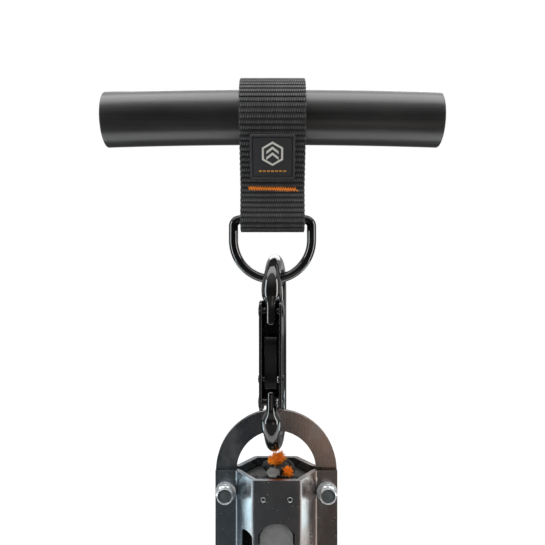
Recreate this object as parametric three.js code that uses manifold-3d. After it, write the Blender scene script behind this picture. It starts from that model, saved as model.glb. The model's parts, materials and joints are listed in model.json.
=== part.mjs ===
// Zip line trolley with its hanging lanyard, in millimetres, +Z up.
// The origin is the middle of the hanger bar's axis. +X runs along the bar and the cable runs along Y.
//
// hanger bar > webbing sling > D-ring > double-lock snap hook > bail plate and bolted hexagonal
// housing, which holds the running wheel and the knotted load rope.
import * as THREE from 'three';
import { mergeVertices } from 'three/addons/utils/BufferGeometryUtils.js';
import Module from 'manifold-3d';

const wasm = await Module();
wasm.setup();

// ---------------------------------------------------------------- driving sizes
const gap = 0.3; // air between pieces that touch
const cutPast = 1; // how far a cutting shape runs past the face that it cuts
const turn = Math.PI * 2;

const bar = { diameter: 42.4, wall: 2.6, length: 260, bowRadius: 4000 };
const plug = { length: 14, wall: 2, cap: 3, recess: 0.6 };

const webbing = { width: 50, ply: 2.8, innerSlack: 0.5, outerSlack: 1.4 };
const pinch = { belowBar: 35.8, bendRadius: 10.9, halfOpening: 0.25 };
const badge = { side: 34, thick: 2, corner: 1.5, drop: 24.2 };
const tack = { width: 38, height: 3.7, thick: 0.8, standOff: 0.65 };

const ring = { wire: 7.3, width: 69, belowPinch: 23.1, cornerRadius: 5.4, height: 54.15 };

const hook = { yawDegrees: -8, shift: 2.3, length: 153.2, halfDepth: 30, rodWide: 12, rodDeep: 15.2 };
const nose = {
  bulgeWide: 15, bulgeLong: 26, bulgeRise: 4, tangWide: 9, tangDeep: 10, tangOut: 1, tangDrop: 23.4,
  tangCorner: 3, notchDeep: 14,
};
const heel = {
  bulgeWide: 15, bulgeLong: 20, bulgeDrop: 3, tangWide: 7.6, tangDeep: 11, tangRise: 21.4,
  tangRoot: 6, tangCorner: 5,
};
const gate = {
  width: 17, sheet: 2, belowNose: 5, aboveHeel: 6.3, inward: 9.4, outward: 6.6, endRadius: 5,
  webRelief: 3,
};
const rivet = { aboveHeel: 12.7, radius: 3, headRadius: 4.6, headThick: 0.8 };
const latch = { belowNose: 12.7, radius: 2.5, headRadius: 4.2, drop: 1.4 };
const lever = {
  wide: 9, belowNose: 31.4, aboveTang: 1.2, inward: 1.9, outward: 5.1, corner: 2.4,
  pinAboveHeel: 30, pinRadius: 2, pinHeadRadius: 3,
};
const coil = { wire: 1.2 };

const trolleyX = 3;
const bail = { thick: 5, outerRadius: 47.2, leg: 16.2, contact: 0.5 };
const shell = { sheet: 4, height: 103, aboveBailCentre: 1.3, faceHalf: 17.5 };
const faceWindow = { half: 13.5, belowTop: 32, shoulderDrop: 8, aboveBottom: 10, crown: 4 };
const sideSlot = { aboveBottom: 26, inset: 0.4, outset: 8.7, corner: 3, endSpare: 0.5 };
const clampBolt = {
  belowTop: 16.2, aboveBottom: 14, radius: 4, flats: 13, headHigh: 5.5, nutHigh: 8, recess: 1,
};
const washer = { edge: 0.1, thick: 1.6 };
const seatPin = { x: 9.9, belowTop: 14.3, radius: 2.1, bore: 1.2 };
const seat = { thick: 5, fit: 0.6 };

const carrier = {
  sideRoom: 1.35, plate: 4, cheek: 4, recess: 2, crown: 3.6, belowAxle: 30, plateBelowAxle: 5, corner: 2,
};
const wheel = {
  belowApex: 4.5, room: 2.5, radius: 19.5, half: 7, grooveDepth: 6, cableRadius: 6, boreRadius: 13,
};
const axle = { radius: 5, circlipThick: 1.2, circlipRadius: 7.5, spare: 0.2 };
const rope = { diameter: 9, room: 0.65, belowShell: 16, sides: 8, aboveSeat: 0.5 };
const thimble = { bore: 9, width: 11, groove: 3, fit: 0.7 };
const knot = { x: 2, high: 12, wide: 28, deep: 22 };
// frayed ends: half sizes, place from the knot's middle, lean in degrees
const tufts = {
  largeOrange: { radii: [8, 4, 4], from: [-3.4, -1, 8.6], lean: -32 },
  smallOrange: { radii: [3.4, 2.8, 2.6], from: [7, -11.5, 2.6], lean: 0 },
  white: { radii: [3.6, 2.6, 2.2], from: [-5, -10.8, 2.6], lean: 0 },
};

// ---------------------------------------------------------------- finishes
const finish = {
  blackTube: { color: 0x1c1c1d, roughness: 0.42, metalness: 0.3 },
  blackPlastic: { color: 0x161616, roughness: 0.6, metalness: 0 },
  webbing: { color: 0x262628, roughness: 0.9, metalness: 0 },
  rubber: { color: 0x232326, roughness: 0.75, metalness: 0 },
  orangeThread: { color: 0xe86d0a, roughness: 0.7, metalness: 0 },
  blackGloss: { color: 0x0c0c0d, roughness: 0.15, metalness: 0.2 },
  blackSatin: { color: 0x141414, roughness: 0.4, metalness: 0.3 },
  springSteel: { color: 0x9a9a98, roughness: 0.3, metalness: 1 },
  zinc: { color: 0xb4bcc0, roughness: 0.28, metalness: 1 },
  zincBolt: { color: 0xc4cacc, roughness: 0.3, metalness: 1 },
  castGrey: { color: 0x8c8c8a, roughness: 0.65, metalness: 0.5 },
  wheelNylon: { color: 0x3a3a3a, roughness: 0.5, metalness: 0 },
  ropeBlack: { color: 0x151515, roughness: 0.9, metalness: 0 },
  ropeOrange: { color: 0xff7a00, roughness: 0.9, metalness: 0 },
  ropeWhite: { color: 0xd8d8d4, roughness: 0.9, metalness: 0 },
};

// ---------------------------------------------------------------- geometry helpers

/** Keeps only positions, merges shared vertices, drops flat triangles and turns the faces outward. */
function closed(geometry, tolerance = 1e-4) {
  const bare = geometry.clone();
  for (const name of Object.keys(bare.attributes)) {
    if (name !== 'position') bare.deleteAttribute(name);
  }
  const merged = mergeVertices(bare, tolerance);
  const all = merged.index.array;
  const kept = [];
  let volume = 0;
  const [a, b, c] = [new THREE.Vector3(), new THREE.Vector3(), new THREE.Vector3()];
  for (let i = 0; i < all.length; i += 3) {
    const [p, q, r] = [all[i], all[i + 1], all[i + 2]];
    if (p === q || q === r || r === p) continue;
    kept.push(p, q, r);
    a.fromBufferAttribute(merged.attributes.position, p);
    b.fromBufferAttribute(merged.attributes.position, q);
    c.fromBufferAttribute(merged.attributes.position, r);
    volume += a.dot(b.cross(c));
  }
  if (volume < 0) kept.reverse();
  merged.clearGroups();
  merged.setIndex(kept);
  return merged;
}

/** A manifold solid from a three.js geometry. */
function toSolid(geometry) {
  const clean = closed(geometry);
  return new wasm.Manifold(new wasm.Mesh({
    numProp: 3,
    vertProperties: new Float32Array(clean.attributes.position.array),
    triVerts: new Uint32Array(clean.index.array),
  }));
}

/** The three.js geometry of a manifold solid. */
function toGeometry(solid) {
  const mesh = solid.getMesh();
  const geometry = new THREE.BufferGeometry();
  geometry.setAttribute('position', new THREE.Float32BufferAttribute(mesh.vertProperties, 3));
  geometry.setIndex([...mesh.triVerts]);
  return geometry;
}

function join(first, ...others) {
  return toGeometry(others.reduce((sum, other) => sum.add(toSolid(other)), toSolid(first)));
}

function cut(body, ...tools) {
  return toGeometry(tools.reduce((rest, tool) => rest.subtract(toSolid(tool)), toSolid(body)));
}

const basis = {
  x: new THREE.Matrix4().makeBasis(
    new THREE.Vector3(0, 1, 0), new THREE.Vector3(0, 0, 1), new THREE.Vector3(1, 0, 0)),
  y: new THREE.Matrix4().makeBasis(
    new THREE.Vector3(1, 0, 0), new THREE.Vector3(0, 0, 1), new THREE.Vector3(0, -1, 0)),
  z: new THREE.Matrix4(),
};

/** A flat outline, drawn in the plane square to the axis, made into a slab centred on that plane. */
function slab(outline, thick, axis, curveSegments = 12) {
  const geometry = new THREE.ExtrudeGeometry(outline, {
    depth: thick, bevelEnabled: false, steps: 1, curveSegments,
  });
  return geometry.translate(0, 0, -thick / 2).applyMatrix4(basis[axis]);
}

/** A profile of [radius, height] points spun about an axis. */
function spun(profile, axis, segments = 32) {
  const points = profile.map(([radius, height]) => new THREE.Vector2(radius, height));
  const geometry = new THREE.LatheGeometry(points, segments);
  if (axis === 'z') geometry.rotateX(Math.PI / 2);
  if (axis === 'x') geometry.rotateZ(-Math.PI / 2);
  return geometry;
}

/** A solid round bar from one place to another along an axis. */
function rod(radius, from, to, axis, segments = 14) {
  return spun([[0, from], [radius, from], [radius, to], [0, to]], axis, segments);
}

/** A ring with a square section, from one place to another along an axis. */
function collar(outer, inner, from, to, axis, segments = 16) {
  return spun([[inner, from], [outer, from], [outer, to], [inner, to], [inner, from]], axis, segments);
}

function block(size, centre) {
  return new THREE.BoxGeometry(...size).translate(...centre);
}

/** A hexagonal prism with the given width across its flats, lying along Y. */
function hexBar(flats, from, to) {
  const outline = new THREE.Shape();
  const corner = flats / Math.sqrt(3);
  for (let i = 0; i < 6; i += 1) {
    const angle = (i / 6) * turn + turn / 12;
    const [x, z] = [corner * Math.cos(angle), corner * Math.sin(angle)];
    if (i === 0) outline.moveTo(x, z);
    else outline.lineTo(x, z);
  }
  return slab(outline, to - from, 'y').translate(0, (from + to) / 2, 0);
}

function polygon(points) {
  return new THREE.Shape(points.map(([x, y]) => new THREE.Vector2(x, y)));
}

function roundedRectangle(width, height, radius, x = 0, y = 0) {
  const [w, h] = [width / 2 - radius, height / 2 - radius];
  const shape = new THREE.Shape();
  shape.absarc(x + w, y + h, radius, 0, turn / 4, false);
  shape.absarc(x - w, y + h, radius, turn / 4, turn / 2, false);
  shape.absarc(x - w, y - h, radius, turn / 2, turn * 0.75, false);
  shape.absarc(x + w, y - h, radius, turn * 0.75, turn, false);
  return shape;
}

/** A flat path stood up in the plane square to X or Y, as a three.js curve in space. */
class StandingCurve extends THREE.Curve {
  constructor(path, axis) {
    super();
    this.path = path;
    this.axis = axis;
  }

  getPoint(t, target = new THREE.Vector3()) {
    const flat = this.path.getPoint(t);
    return this.axis === 'x' ? target.set(0, flat.x, flat.y) : target.set(flat.x, 0, flat.y);
  }
}

function ellipseShape(halfAcross, halfAlong, sides) {
  const points = [];
  for (let i = 0; i < sides; i += 1) {
    const angle = ((i + 0.5) / sides) * turn;
    points.push([halfAcross * Math.cos(angle), halfAlong * Math.sin(angle)]);
  }
  return polygon(points);
}

/** A section swept along a path; a path that ends where it starts gives a ring without end faces. */
function swept(section, curve, steps, isRing = false) {
  const geometry = new THREE.ExtrudeGeometry(section, {
    extrudePath: curve, steps, bevelEnabled: false, curveSegments: 4,
  });
  if (!isRing) return geometry;
  const [, sides] = geometry.groups;
  const open = new THREE.BufferGeometry();
  const used = geometry.attributes.position.array.slice(sides.start * 3, (sides.start + sides.count) * 3);
  open.setAttribute('position', new THREE.Float32BufferAttribute(used, 3));
  return closed(open, 1e-3);
}

/** Belt outline round directed circles [y, z, signed radius], passed on their outside if positive. */
function beltOutline(circles, grow) {
  const legs = circles.map((circle, i) => {
    const next = circles[(i + 1) % circles.length];
    const [dy, dz] = [next[0] - circle[0], next[1] - circle[1]];
    const rise = (next[2] - circle[2]) / Math.hypot(dy, dz);
    return Math.atan2(dz, dy) - Math.asin(rise);
  });
  const outline = new THREE.Path();
  circles.forEach(([y, z, radius], i) => {
    const size = radius + grow;
    const before = legs[(i + circles.length - 1) % circles.length] - turn / 4;
    const after = legs[i] - turn / 4;
    const flip = size < 0 ? Math.PI : 0;
    outline.absarc(y, z, Math.abs(size), before + flip, after + flip, size < 0);
  });
  return outline;
}

// ---------------------------------------------------------------- the assembly
const assembly = new THREE.Group();

function piece(parent, name, geometry, look) {
  const mesh = new THREE.Mesh(closed(geometry), new THREE.MeshStandardMaterial(look));
  mesh.name = name;
  parent.add(mesh);
  return mesh;
}

function subassembly(x = 0, y = 0, z = 0) {
  const group = new THREE.Group();
  group.position.set(x, y, z);
  assembly.add(group);
  return group;
}

// ---------------------------------------------------------------- hanger bar
const barRadius = bar.diameter / 2;
const barBore = barRadius - bar.wall;

/** Lowers every point by the sagitta of the bar's gentle arch at that place along it. */
function bow(geometry) {
  const place = geometry.attributes.position;
  for (let i = 0; i < place.count; i += 1) {
    place.setZ(i, place.getZ(i) - place.getX(i) ** 2 / (2 * bar.bowRadius));
  }
  return geometry;
}

function hangerBar() {
  const steps = 6;
  const half = bar.length / 2;
  const outside = [];
  for (let i = 0; i <= steps; i += 1) outside.push([barRadius, -half + (bar.length * i) / steps]);
  const inside = outside.map(([, x]) => [barBore, x]).reverse();
  return bow(spun([...outside, ...inside, outside[0]], 'x', 30));
}

function barPlug(side) {
  const radius = barBore - gap;
  const face = bar.length / 2 - plug.recess;
  const back = face - plug.length;
  const profile = [
    [0, face], [radius, face], [radius, back], [radius - plug.wall, back],
    [radius - plug.wall, face - plug.cap], [0, face - plug.cap],
  ];
  return bow(spun(profile.map(([r, x]) => [r, side * x]), 'x', 16));
}

const barGroup = subassembly();
piece(barGroup, 'hanger_bar', hangerBar(), finish.blackTube);
piece(barGroup, 'bar_plug_left', barPlug(-1), finish.blackPlastic);
piece(barGroup, 'bar_plug_right', barPlug(1), finish.blackPlastic);

// ---------------------------------------------------------------- webbing sling
const wireRadius = ring.wire / 2;
const pinchY = pinch.halfOpening + pinch.bendRadius;
const pinchZ = -barRadius - pinch.belowBar;
const ringBarZ = pinchZ - ring.belowPinch;

/** The circles that a ply runs round: the bar, the pinch where it is sewn, and the D-ring's bar. */
function plyCircles(barSlack) {
  return [
    [0, 0, barRadius + barSlack],
    [-pinchY, pinchZ, -pinch.bendRadius],
    [0, ringBarZ, wireRadius + gap],
    [pinchY, pinchZ, -pinch.bendRadius],
  ];
}

function ply(barSlack, inset) {
  const circles = plyCircles(barSlack);
  const outline = new THREE.Shape(beltOutline(circles, inset + webbing.ply).getPoints(14));
  outline.holes.push(new THREE.Path(beltOutline(circles, inset).getPoints(14)));
  return slab(outline, webbing.width, 'x');
}

const outerInset = webbing.ply + gap;
const plyTotal = outerInset + webbing.ply;
const outerBarRadius = barRadius + webbing.outerSlack + webbing.innerSlack + plyTotal;

/** Point and direction of the sling's straight front face, from the bar down to the pinch. */
function frontFace() {
  const pinchRadius = pinch.bendRadius - plyTotal;
  const angle = Math.atan2(pinchZ, -pinchY)
    + Math.asin((pinchRadius + outerBarRadius) / Math.hypot(pinchZ, pinchY));
  const down = [Math.cos(angle), Math.sin(angle)];
  const out = [down[1], -down[0]];
  return { start: [outerBarRadius * out[0], outerBarRadius * out[1]], down, out };
}

const slingGroup = subassembly();
piece(slingGroup, 'sling_inner_ply', ply(webbing.innerSlack, 0), finish.webbing);
piece(slingGroup, 'sling_outer_ply', ply(webbing.innerSlack + webbing.outerSlack, outerInset),
  finish.webbing);

const face = frontFace();
const badgeLift = gap + badge.thick / 2;
const badgeMesh = piece(slingGroup, 'badge',
  slab(roundedRectangle(badge.side, badge.side, badge.corner), badge.thick, 'y', 4), finish.rubber);
badgeMesh.position.set(0, face.start[0] + face.down[0] * badge.drop + face.out[0] * badgeLift,
  face.start[1] + face.down[1] * badge.drop + face.out[1] * badgeLift);
badgeMesh.rotation.x = Math.atan2(-face.out[1], -face.out[0]);

const tackY = pinch.halfOpening + plyTotal + tack.standOff + tack.thick / 2;
for (const [name, side] of [['tack_front', -1], ['tack_rear', 1]]) {
  piece(slingGroup, name, block([tack.width, tack.thick, tack.height], [0, side * tackY, pinchZ]),
    finish.orangeThread);
}

// ---------------------------------------------------------------- D-ring
const ringHalf = ring.width / 2 - wireRadius;
const ringArcZ = ringBarZ + wireRadius - ring.height + wireRadius + ringHalf;
const ringLowZ = ringArcZ - ringHalf;

function dRing() {
  const corner = ring.cornerRadius;
  const path = new THREE.Path();
  path.moveTo(0, ringBarZ);
  path.lineTo(ringHalf - corner, ringBarZ);
  path.absarc(ringHalf - corner, ringBarZ - corner, corner, turn / 4, 0, true);
  path.absarc(0, ringArcZ, ringHalf, 0, -turn / 2, true);
  path.absarc(corner - ringHalf, ringBarZ - corner, corner, turn / 2, turn / 4, true);
  path.lineTo(0, ringBarZ);
  return swept(ellipseShape(wireRadius, wireRadius, 10), new StandingCurve(path, 'y'), 60, true);
}

piece(subassembly(), 'd_ring', dRing(), finish.blackGloss);

// ---------------------------------------------------------------- snap hook
const hookTop = ringLowZ + wireRadius + gap + hook.rodDeep;
const hookBottom = hookTop - hook.length;
const rodHalfDeep = hook.rodDeep / 2;
const rodY = hook.halfDepth - rodHalfDeep;
const topBendZ = hookTop - hook.halfDepth;
const lowBendZ = hookBottom + hook.halfDepth;
const tangTop = lowBendZ + heel.tangRise;
const tangLow = topBendZ - nose.tangDrop;
const gateTop = topBendZ - gate.belowNose;
const gateBottom = lowBendZ + gate.aboveHeel;
const gateMidZ = (gateTop + gateBottom) / 2;
const webY = -rodY + gate.inward;
const lipY = -rodY - gate.outward;
const gateMidY = (webY + lipY) / 2;
const rivetZ = lowBendZ + rivet.aboveHeel;
const latchZ = topBendZ - latch.belowNose;
const leverTop = topBendZ - lever.belowNose;
const leverBottom = tangTop + lever.aboveTang;
const leverInnerY = -rodY + lever.inward;
const leverOuterY = -rodY - lever.outward;
const leverPinY = (leverInnerY + leverOuterY) / 2;
const leverPinZ = lowBendZ + lever.pinAboveHeel;

function ellipsoid(radii, centre, segments = 16, rings = 10) {
  return new THREE.SphereGeometry(1, segments, rings)
    .rotateX(Math.PI / 2).scale(...radii).translate(...centre);
}

function hookFrame() {
  const path = new THREE.Path();
  path.moveTo(-rodY, topBendZ);
  path.absarc(0, topBendZ, rodY, turn / 2, 0, true);
  path.absarc(0, lowBendZ, rodY, 0, -turn / 2, true);
  path.lineTo(-rodY, lowBendZ);
  const frame = swept(ellipseShape(hook.rodWide / 2, rodHalfDeep, 12),
    new StandingCurve(path, 'x'), 48);
  const bulgeZ = topBendZ + nose.bulgeRise;
  const noseBulge = ellipsoid([nose.bulgeWide / 2, rodHalfDeep, nose.bulgeLong / 2], [0, -rodY, bulgeZ]);
  const heelBulge = ellipsoid([heel.bulgeWide / 2, rodHalfDeep, heel.bulgeLong / 2],
    [0, -rodY, lowBendZ - heel.bulgeDrop]);
  const noseTang = slab(roundedRectangle(nose.tangDeep, bulgeZ - tangLow, nose.tangCorner,
    -rodY - nose.tangOut, (bulgeZ + tangLow) / 2), nose.tangWide, 'x', 4);
  const tangRootZ = lowBendZ - heel.tangRoot;
  const heelTang = slab(roundedRectangle(heel.tangDeep, tangTop - tangRootZ, heel.tangCorner,
    -rodY, (tangTop + tangRootZ) / 2), heel.tangWide, 'x', 4);
  const whole = join(frame, noseBulge, heelBulge, noseTang, heelTang);
  const latchRoom = latch.radius + gap;
  const notch = block([nose.tangWide + 2 * cutPast, nose.notchDeep, 2 * latchRoom + latch.drop],
    [0, -rodY + nose.notchDeep / 2 - latchRoom, latchZ - latch.drop / 2]);
  const hole = rod(rivet.radius + gap, -heel.tangWide, heel.tangWide, 'x')
    .translate(0, -rodY, rivetZ);
  return cut(whole, notch, hole);
}

const gateHalf = gate.width / 2;
const gateInner = gateHalf - gate.sheet;

function gateChannel() {
  const high = gateTop - gateBottom;
  const side = roundedRectangle(webY - lipY, high, gate.endRadius, gateMidY, gateMidZ);
  const solid = slab(side, gate.width, 'x', 5);
  const inside = block([2 * gateInner, webY - lipY, high + 2 * cutPast],
    [0, gateMidY - gate.sheet, gateMidZ]);
  const heelRoom = block([2 * gateInner, 2 * (gate.sheet + cutPast), 2 * gate.webRelief],
    [0, webY, gateBottom]);
  const holes = [
    [rivet.radius, -rodY, rivetZ], [latch.radius, -rodY, latchZ], [lever.pinRadius, leverPinY, leverPinZ],
  ];
  const drills = holes.map(([radius, y, z]) => rod(radius + gap, -gateHalf - cutPast, gateHalf + cutPast, 'x')
    .translate(0, y, z));
  return cut(solid, inside, heelRoom, ...drills);
}

/** A headed pin through both sides of the gate. */
function gatePin(radius, headRadius, y, z) {
  const near = gateHalf + gap;
  const far = near + rivet.headThick;
  const profile = [
    [0, -far], [headRadius, -far], [headRadius, -near], [radius, -near],
    [radius, near], [headRadius, near], [headRadius, far], [0, far],
  ];
  return spun(profile, 'x', 12).translate(0, y, z);
}

function lockLever() {
  const arm = slab(roundedRectangle(leverInnerY - leverOuterY, leverTop - leverBottom, lever.corner,
    leverPinY, (leverTop + leverBottom) / 2), lever.wide, 'x', 4);
  const bore = rod(lever.pinRadius + gap, -lever.wide, lever.wide, 'x')
    .translate(0, leverPinY, leverPinZ);
  return cut(arm, bore);
}

/** A torsion spring's coil, as the ring it fills, between a lug and the gate's side. */
function coilRing(pinRadius, lugHalf, y, z) {
  const room = gateInner - lugHalf;
  const from = lugHalf + gap;
  return collar(pinRadius + gap + coil.wire, pinRadius + gap, from, from + room - 2 * gap, 'x')
    .translate(0, y, z);
}

const hookGroup = subassembly(hook.shift);
hookGroup.rotation.z = THREE.MathUtils.degToRad(hook.yawDegrees);
piece(hookGroup, 'hook_frame', hookFrame(), finish.blackGloss);
piece(hookGroup, 'gate_hinge_rivet', gatePin(rivet.radius, rivet.headRadius, -rodY, rivetZ),
  finish.blackSatin);
piece(hookGroup, 'gate_channel', gateChannel(), finish.blackSatin);
piece(hookGroup, 'gate_latch_pin', gatePin(latch.radius, latch.headRadius, -rodY, latchZ),
  finish.blackSatin);
piece(hookGroup, 'gate_spring', coilRing(rivet.radius, heel.tangWide / 2, -rodY, rivetZ),
  finish.springSteel);
piece(hookGroup, 'lock_lever', lockLever(), finish.blackGloss);
piece(hookGroup, 'lever_pin', gatePin(lever.pinRadius, lever.pinHeadRadius, leverPinY, leverPinZ),
  finish.blackSatin);
piece(hookGroup, 'lever_spring', coilRing(lever.pinRadius, lever.wide / 2, leverPinY, leverPinZ),
  finish.springSteel);

// ---------------------------------------------------------------- bail plate and housing shells
const bailInner = bail.outerRadius - bail.leg;
const bailZ = hookBottom + hook.rodDeep + bail.contact - bailInner;
const shellTop = bailZ + shell.aboveBailCentre;
const shellBottom = shellTop - shell.height;
const carrierFace = wheel.radius + wheel.room + carrier.plate;
const shellDepth = carrierFace + carrier.recess;
const apexZ = shellTop - faceWindow.belowTop;
const shoulderZ = apexZ - faceWindow.shoulderDrop;
const boltX = bail.outerRadius - bail.leg / 2;
const boltHighZ = shellTop - clampBolt.belowTop;
const boltLowZ = shellBottom + clampBolt.aboveBottom;
const boltPlaces = [
  ['high_left', -boltX, boltHighZ], ['high_right', boltX, boltHighZ],
  ['low_left', -boltX, boltLowZ], ['low_right', boltX, boltLowZ],
];
const boltHole = clampBolt.radius + gap;

function boltDrills(from, to) {
  return boltPlaces.map(([, x, z]) => rod(boltHole, from, to, 'y').translate(x, 0, z));
}

function bailPlate() {
  const outline = new THREE.Shape();
  outline.moveTo(bail.outerRadius, shellBottom);
  outline.absarc(0, bailZ, bail.outerRadius, 0, turn / 2, false);
  outline.lineTo(-bail.outerRadius, shellBottom);
  outline.lineTo(-bailInner, shellBottom);
  outline.absarc(0, bailZ, bailInner, turn / 2, 0, true);
  outline.lineTo(bailInner, shellBottom);
  return cut(slab(outline, bail.thick, 'y', 16), ...boltDrills(-bail.thick, bail.thick));
}

const shellNearY = bail.thick / 2 + gap;
const seatPinZ = shellTop - seatPin.belowTop;
const flangeY = shellNearY + shell.sheet;

/** The hat section's bend points [x, y] at a depth in from its outer surface, all faces kept parallel. */
function hatLine(depthIn) {
  const lean = Math.atan2(bailInner - shell.faceHalf, shellDepth - flangeY);
  const shift = (depthIn * (1 - Math.sin(lean))) / Math.cos(lean);
  return [
    [bailInner - shift, flangeY - depthIn],
    [shell.faceHalf - shift, shellDepth - depthIn],
  ];
}

function halfShell() {
  const outside = hatLine(0);
  const inside = hatLine(shell.sheet);
  const rightSide = [[bail.outerRadius, shellNearY], [bail.outerRadius, flangeY], ...outside];
  const leftSide = rightSide.map(([x, y]) => [-x, y]).reverse();
  const inner = inside.map(([x, y]) => [-x, y]);
  const outline = polygon([...rightSide, ...leftSide, ...inner, ...[...inside].reverse()]
    .map(([x, y]) => [x, -y]));
  const sheet = slab(outline, shell.height, 'z').translate(0, 0, (shellTop + shellBottom) / 2);

  const opening = new THREE.Shape();
  const sillZ = shellBottom + faceWindow.aboveBottom;
  opening.moveTo(-faceWindow.half, sillZ);
  opening.lineTo(faceWindow.half, sillZ);
  opening.lineTo(faceWindow.half, shoulderZ);
  opening.quadraticCurveTo(faceWindow.half - faceWindow.crown, apexZ, 0, apexZ);
  opening.quadraticCurveTo(faceWindow.crown - faceWindow.half, apexZ, -faceWindow.half, shoulderZ);
  const faceCut = slab(opening, shell.sheet + 2 * cutPast, 'y', 6)
    .translate(0, -shellDepth + shell.sheet / 2, 0);

  const slotTop = shoulderZ - gap;
  const slotBottom = shellBottom + sideSlot.aboveBottom;
  const slotOutline = roundedRectangle(
    sideSlot.outset - sideSlot.inset, slotTop - slotBottom, sideSlot.corner,
    -shell.faceHalf - (sideSlot.inset + sideSlot.outset) / 2, (slotTop + slotBottom) / 2);
  const slotCut = slab(slotOutline, shellDepth - flangeY - 2 * sideSlot.endSpare, 'y', 4)
    .translate(0, -(flangeY + shellDepth) / 2, 0);
  const pinDrills = [-1, 1].map((side) => rod(seatPin.radius + gap, -shellDepth - cutPast,
    -shellDepth + shell.sheet + cutPast, 'y', 12).translate(side * seatPin.x, 0, seatPinZ));
  return cut(sheet, faceCut, slotCut, ...pinDrills, ...boltDrills(-flangeY - cutPast, 0));
}

const trolley = subassembly(trolleyX);
piece(trolley, 'bail_plate', bailPlate(), finish.zinc);
const frontShell = halfShell();
piece(trolley, 'front_shell', frontShell, finish.zinc);
piece(trolley, 'rear_shell', frontShell.clone().rotateZ(Math.PI), finish.zinc);

// ---------------------------------------------------------------- clamp bolts
const washerFar = flangeY + gap + washer.thick;
const nutFar = washerFar + gap + clampBolt.nutHigh;
const washerRadius = bail.leg / 2 - washer.edge;

function clampBoltSolid() {
  const headNear = washerFar + gap;
  const head = hexBar(clampBolt.flats, headNear, headNear + clampBolt.headHigh);
  const shank = rod(clampBolt.radius, -nutFar + clampBolt.recess, headNear + cutPast, 'y');
  return join(head, shank);
}

for (const [place, x, z] of boltPlaces) {
  const washerRing = (side) => collar(washerRadius, boltHole, side * (flangeY + gap),
    side * washerFar, 'y').translate(x, 0, z);
  const nut = cut(hexBar(clampBolt.flats, -nutFar, -washerFar - gap),
    rod(boltHole, -nutFar - cutPast, -washerFar, 'y'));
  piece(trolley, `bolt_${place}`, clampBoltSolid().translate(x, 0, z), finish.zincBolt);
  piece(trolley, `nut_${place}`, nut.translate(x, 0, z), finish.zincBolt);
  piece(trolley, `washer_front_${place}`, washerRing(-1), finish.zincBolt);
  piece(trolley, `washer_rear_${place}`, washerRing(1), finish.zincBolt);
}

// ---------------------------------------------------------------- rope seat on its two spring pins
for (const [name, side] of [['seat_pin_left', -1], ['seat_pin_right', 1]]) {
  piece(trolley, name, collar(seatPin.radius, seatPin.bore, -shellDepth, shellDepth, 'y', 12)
    .translate(side * seatPin.x, 0, seatPinZ), finish.zincBolt);
}

const seatLow = seatPinZ + seatPin.radius + gap;
const seatTop = seatLow + seat.thick;
const ropeRadius = rope.diameter / 2;
const carrierHalf = faceWindow.half - carrier.sideRoom;
const axleHalf = carrierHalf + gap + axle.circlipThick + axle.spare;
const ropeX = axleHalf + rope.room + ropeRadius;

function ropeSeat() {
  const inside = hatLine(shell.sheet + seat.fit);
  const corner = [inside[0][0], 0];
  const quarter = [corner, ...inside];
  const front = [...quarter, ...quarter.map(([x, y]) => [-x, y]).reverse()];
  const rear = front.map(([x, y]) => [-x, -y]).slice(1, -1);
  const plate = slab(polygon([...front, ...rear]), seat.thick, 'z')
    .translate(0, 0, (seatLow + seatTop) / 2);
  const holes = [-1, 1].map((side) => rod(ropeRadius + gap, seatLow - cutPast, seatTop + cutPast, 'z')
    .translate(side * ropeX, 0, 0));
  return cut(plate, ...holes);
}

piece(trolley, 'rope_seat', ropeSeat(), finish.castGrey);

// ---------------------------------------------------------------- wheel carrier, axle and wheel
const wheelZ = apexZ - wheel.belowApex - wheel.radius;

function wheelCarrier() {
  const arch = new THREE.Shape();
  const top = apexZ - 2 * gap;
  const shoulder = top - faceWindow.shoulderDrop;
  const plateBottom = wheelZ - carrier.plateBelowAxle;
  arch.moveTo(-carrierHalf, plateBottom);
  arch.lineTo(carrierHalf, plateBottom);
  arch.lineTo(carrierHalf, shoulder);
  arch.quadraticCurveTo(carrierHalf - carrier.crown, top, 0, top);
  arch.quadraticCurveTo(carrier.crown - carrierHalf, top, -carrierHalf, shoulder);
  const plates = [-1, 1].map((side) => slab(arch, carrier.plate, 'y', 6)
    .translate(0, side * (carrierFace - carrier.plate / 2), 0));
  const cheekBottom = wheelZ - carrier.belowAxle;
  const cheekOutline = roundedRectangle(2 * carrierFace, shoulder - cheekBottom, carrier.corner,
    0, (shoulder + cheekBottom) / 2);
  const cheeks = [-1, 1].map((side) => slab(cheekOutline, carrier.cheek, 'x', 3)
    .translate(side * (carrierHalf - carrier.cheek / 2), 0, 0));
  const bore = rod(axle.radius + gap, -carrierHalf - cutPast, carrierHalf + cutPast, 'x')
    .translate(0, 0, wheelZ);
  return cut(join(...plates, ...cheeks), bore);
}

function wheelSheave() {
  const rim = wheel.radius;
  const floor = rim - wheel.grooveDepth;
  const profile = [[wheel.boreRadius, -wheel.half], [rim, -wheel.half]];
  const steps = 6;
  const mouth = wheel.cableRadius;
  for (let i = 0; i <= steps; i += 1) {
    const angle = (i / steps) * Math.PI;
    profile.push([rim - (rim - floor) * Math.sin(angle), -mouth * Math.cos(angle)]);
  }
  profile.push([rim, wheel.half], [wheel.boreRadius, wheel.half], profile[0]);
  return spun(profile, 'x', 24).translate(0, 0, wheelZ);
}

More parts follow.
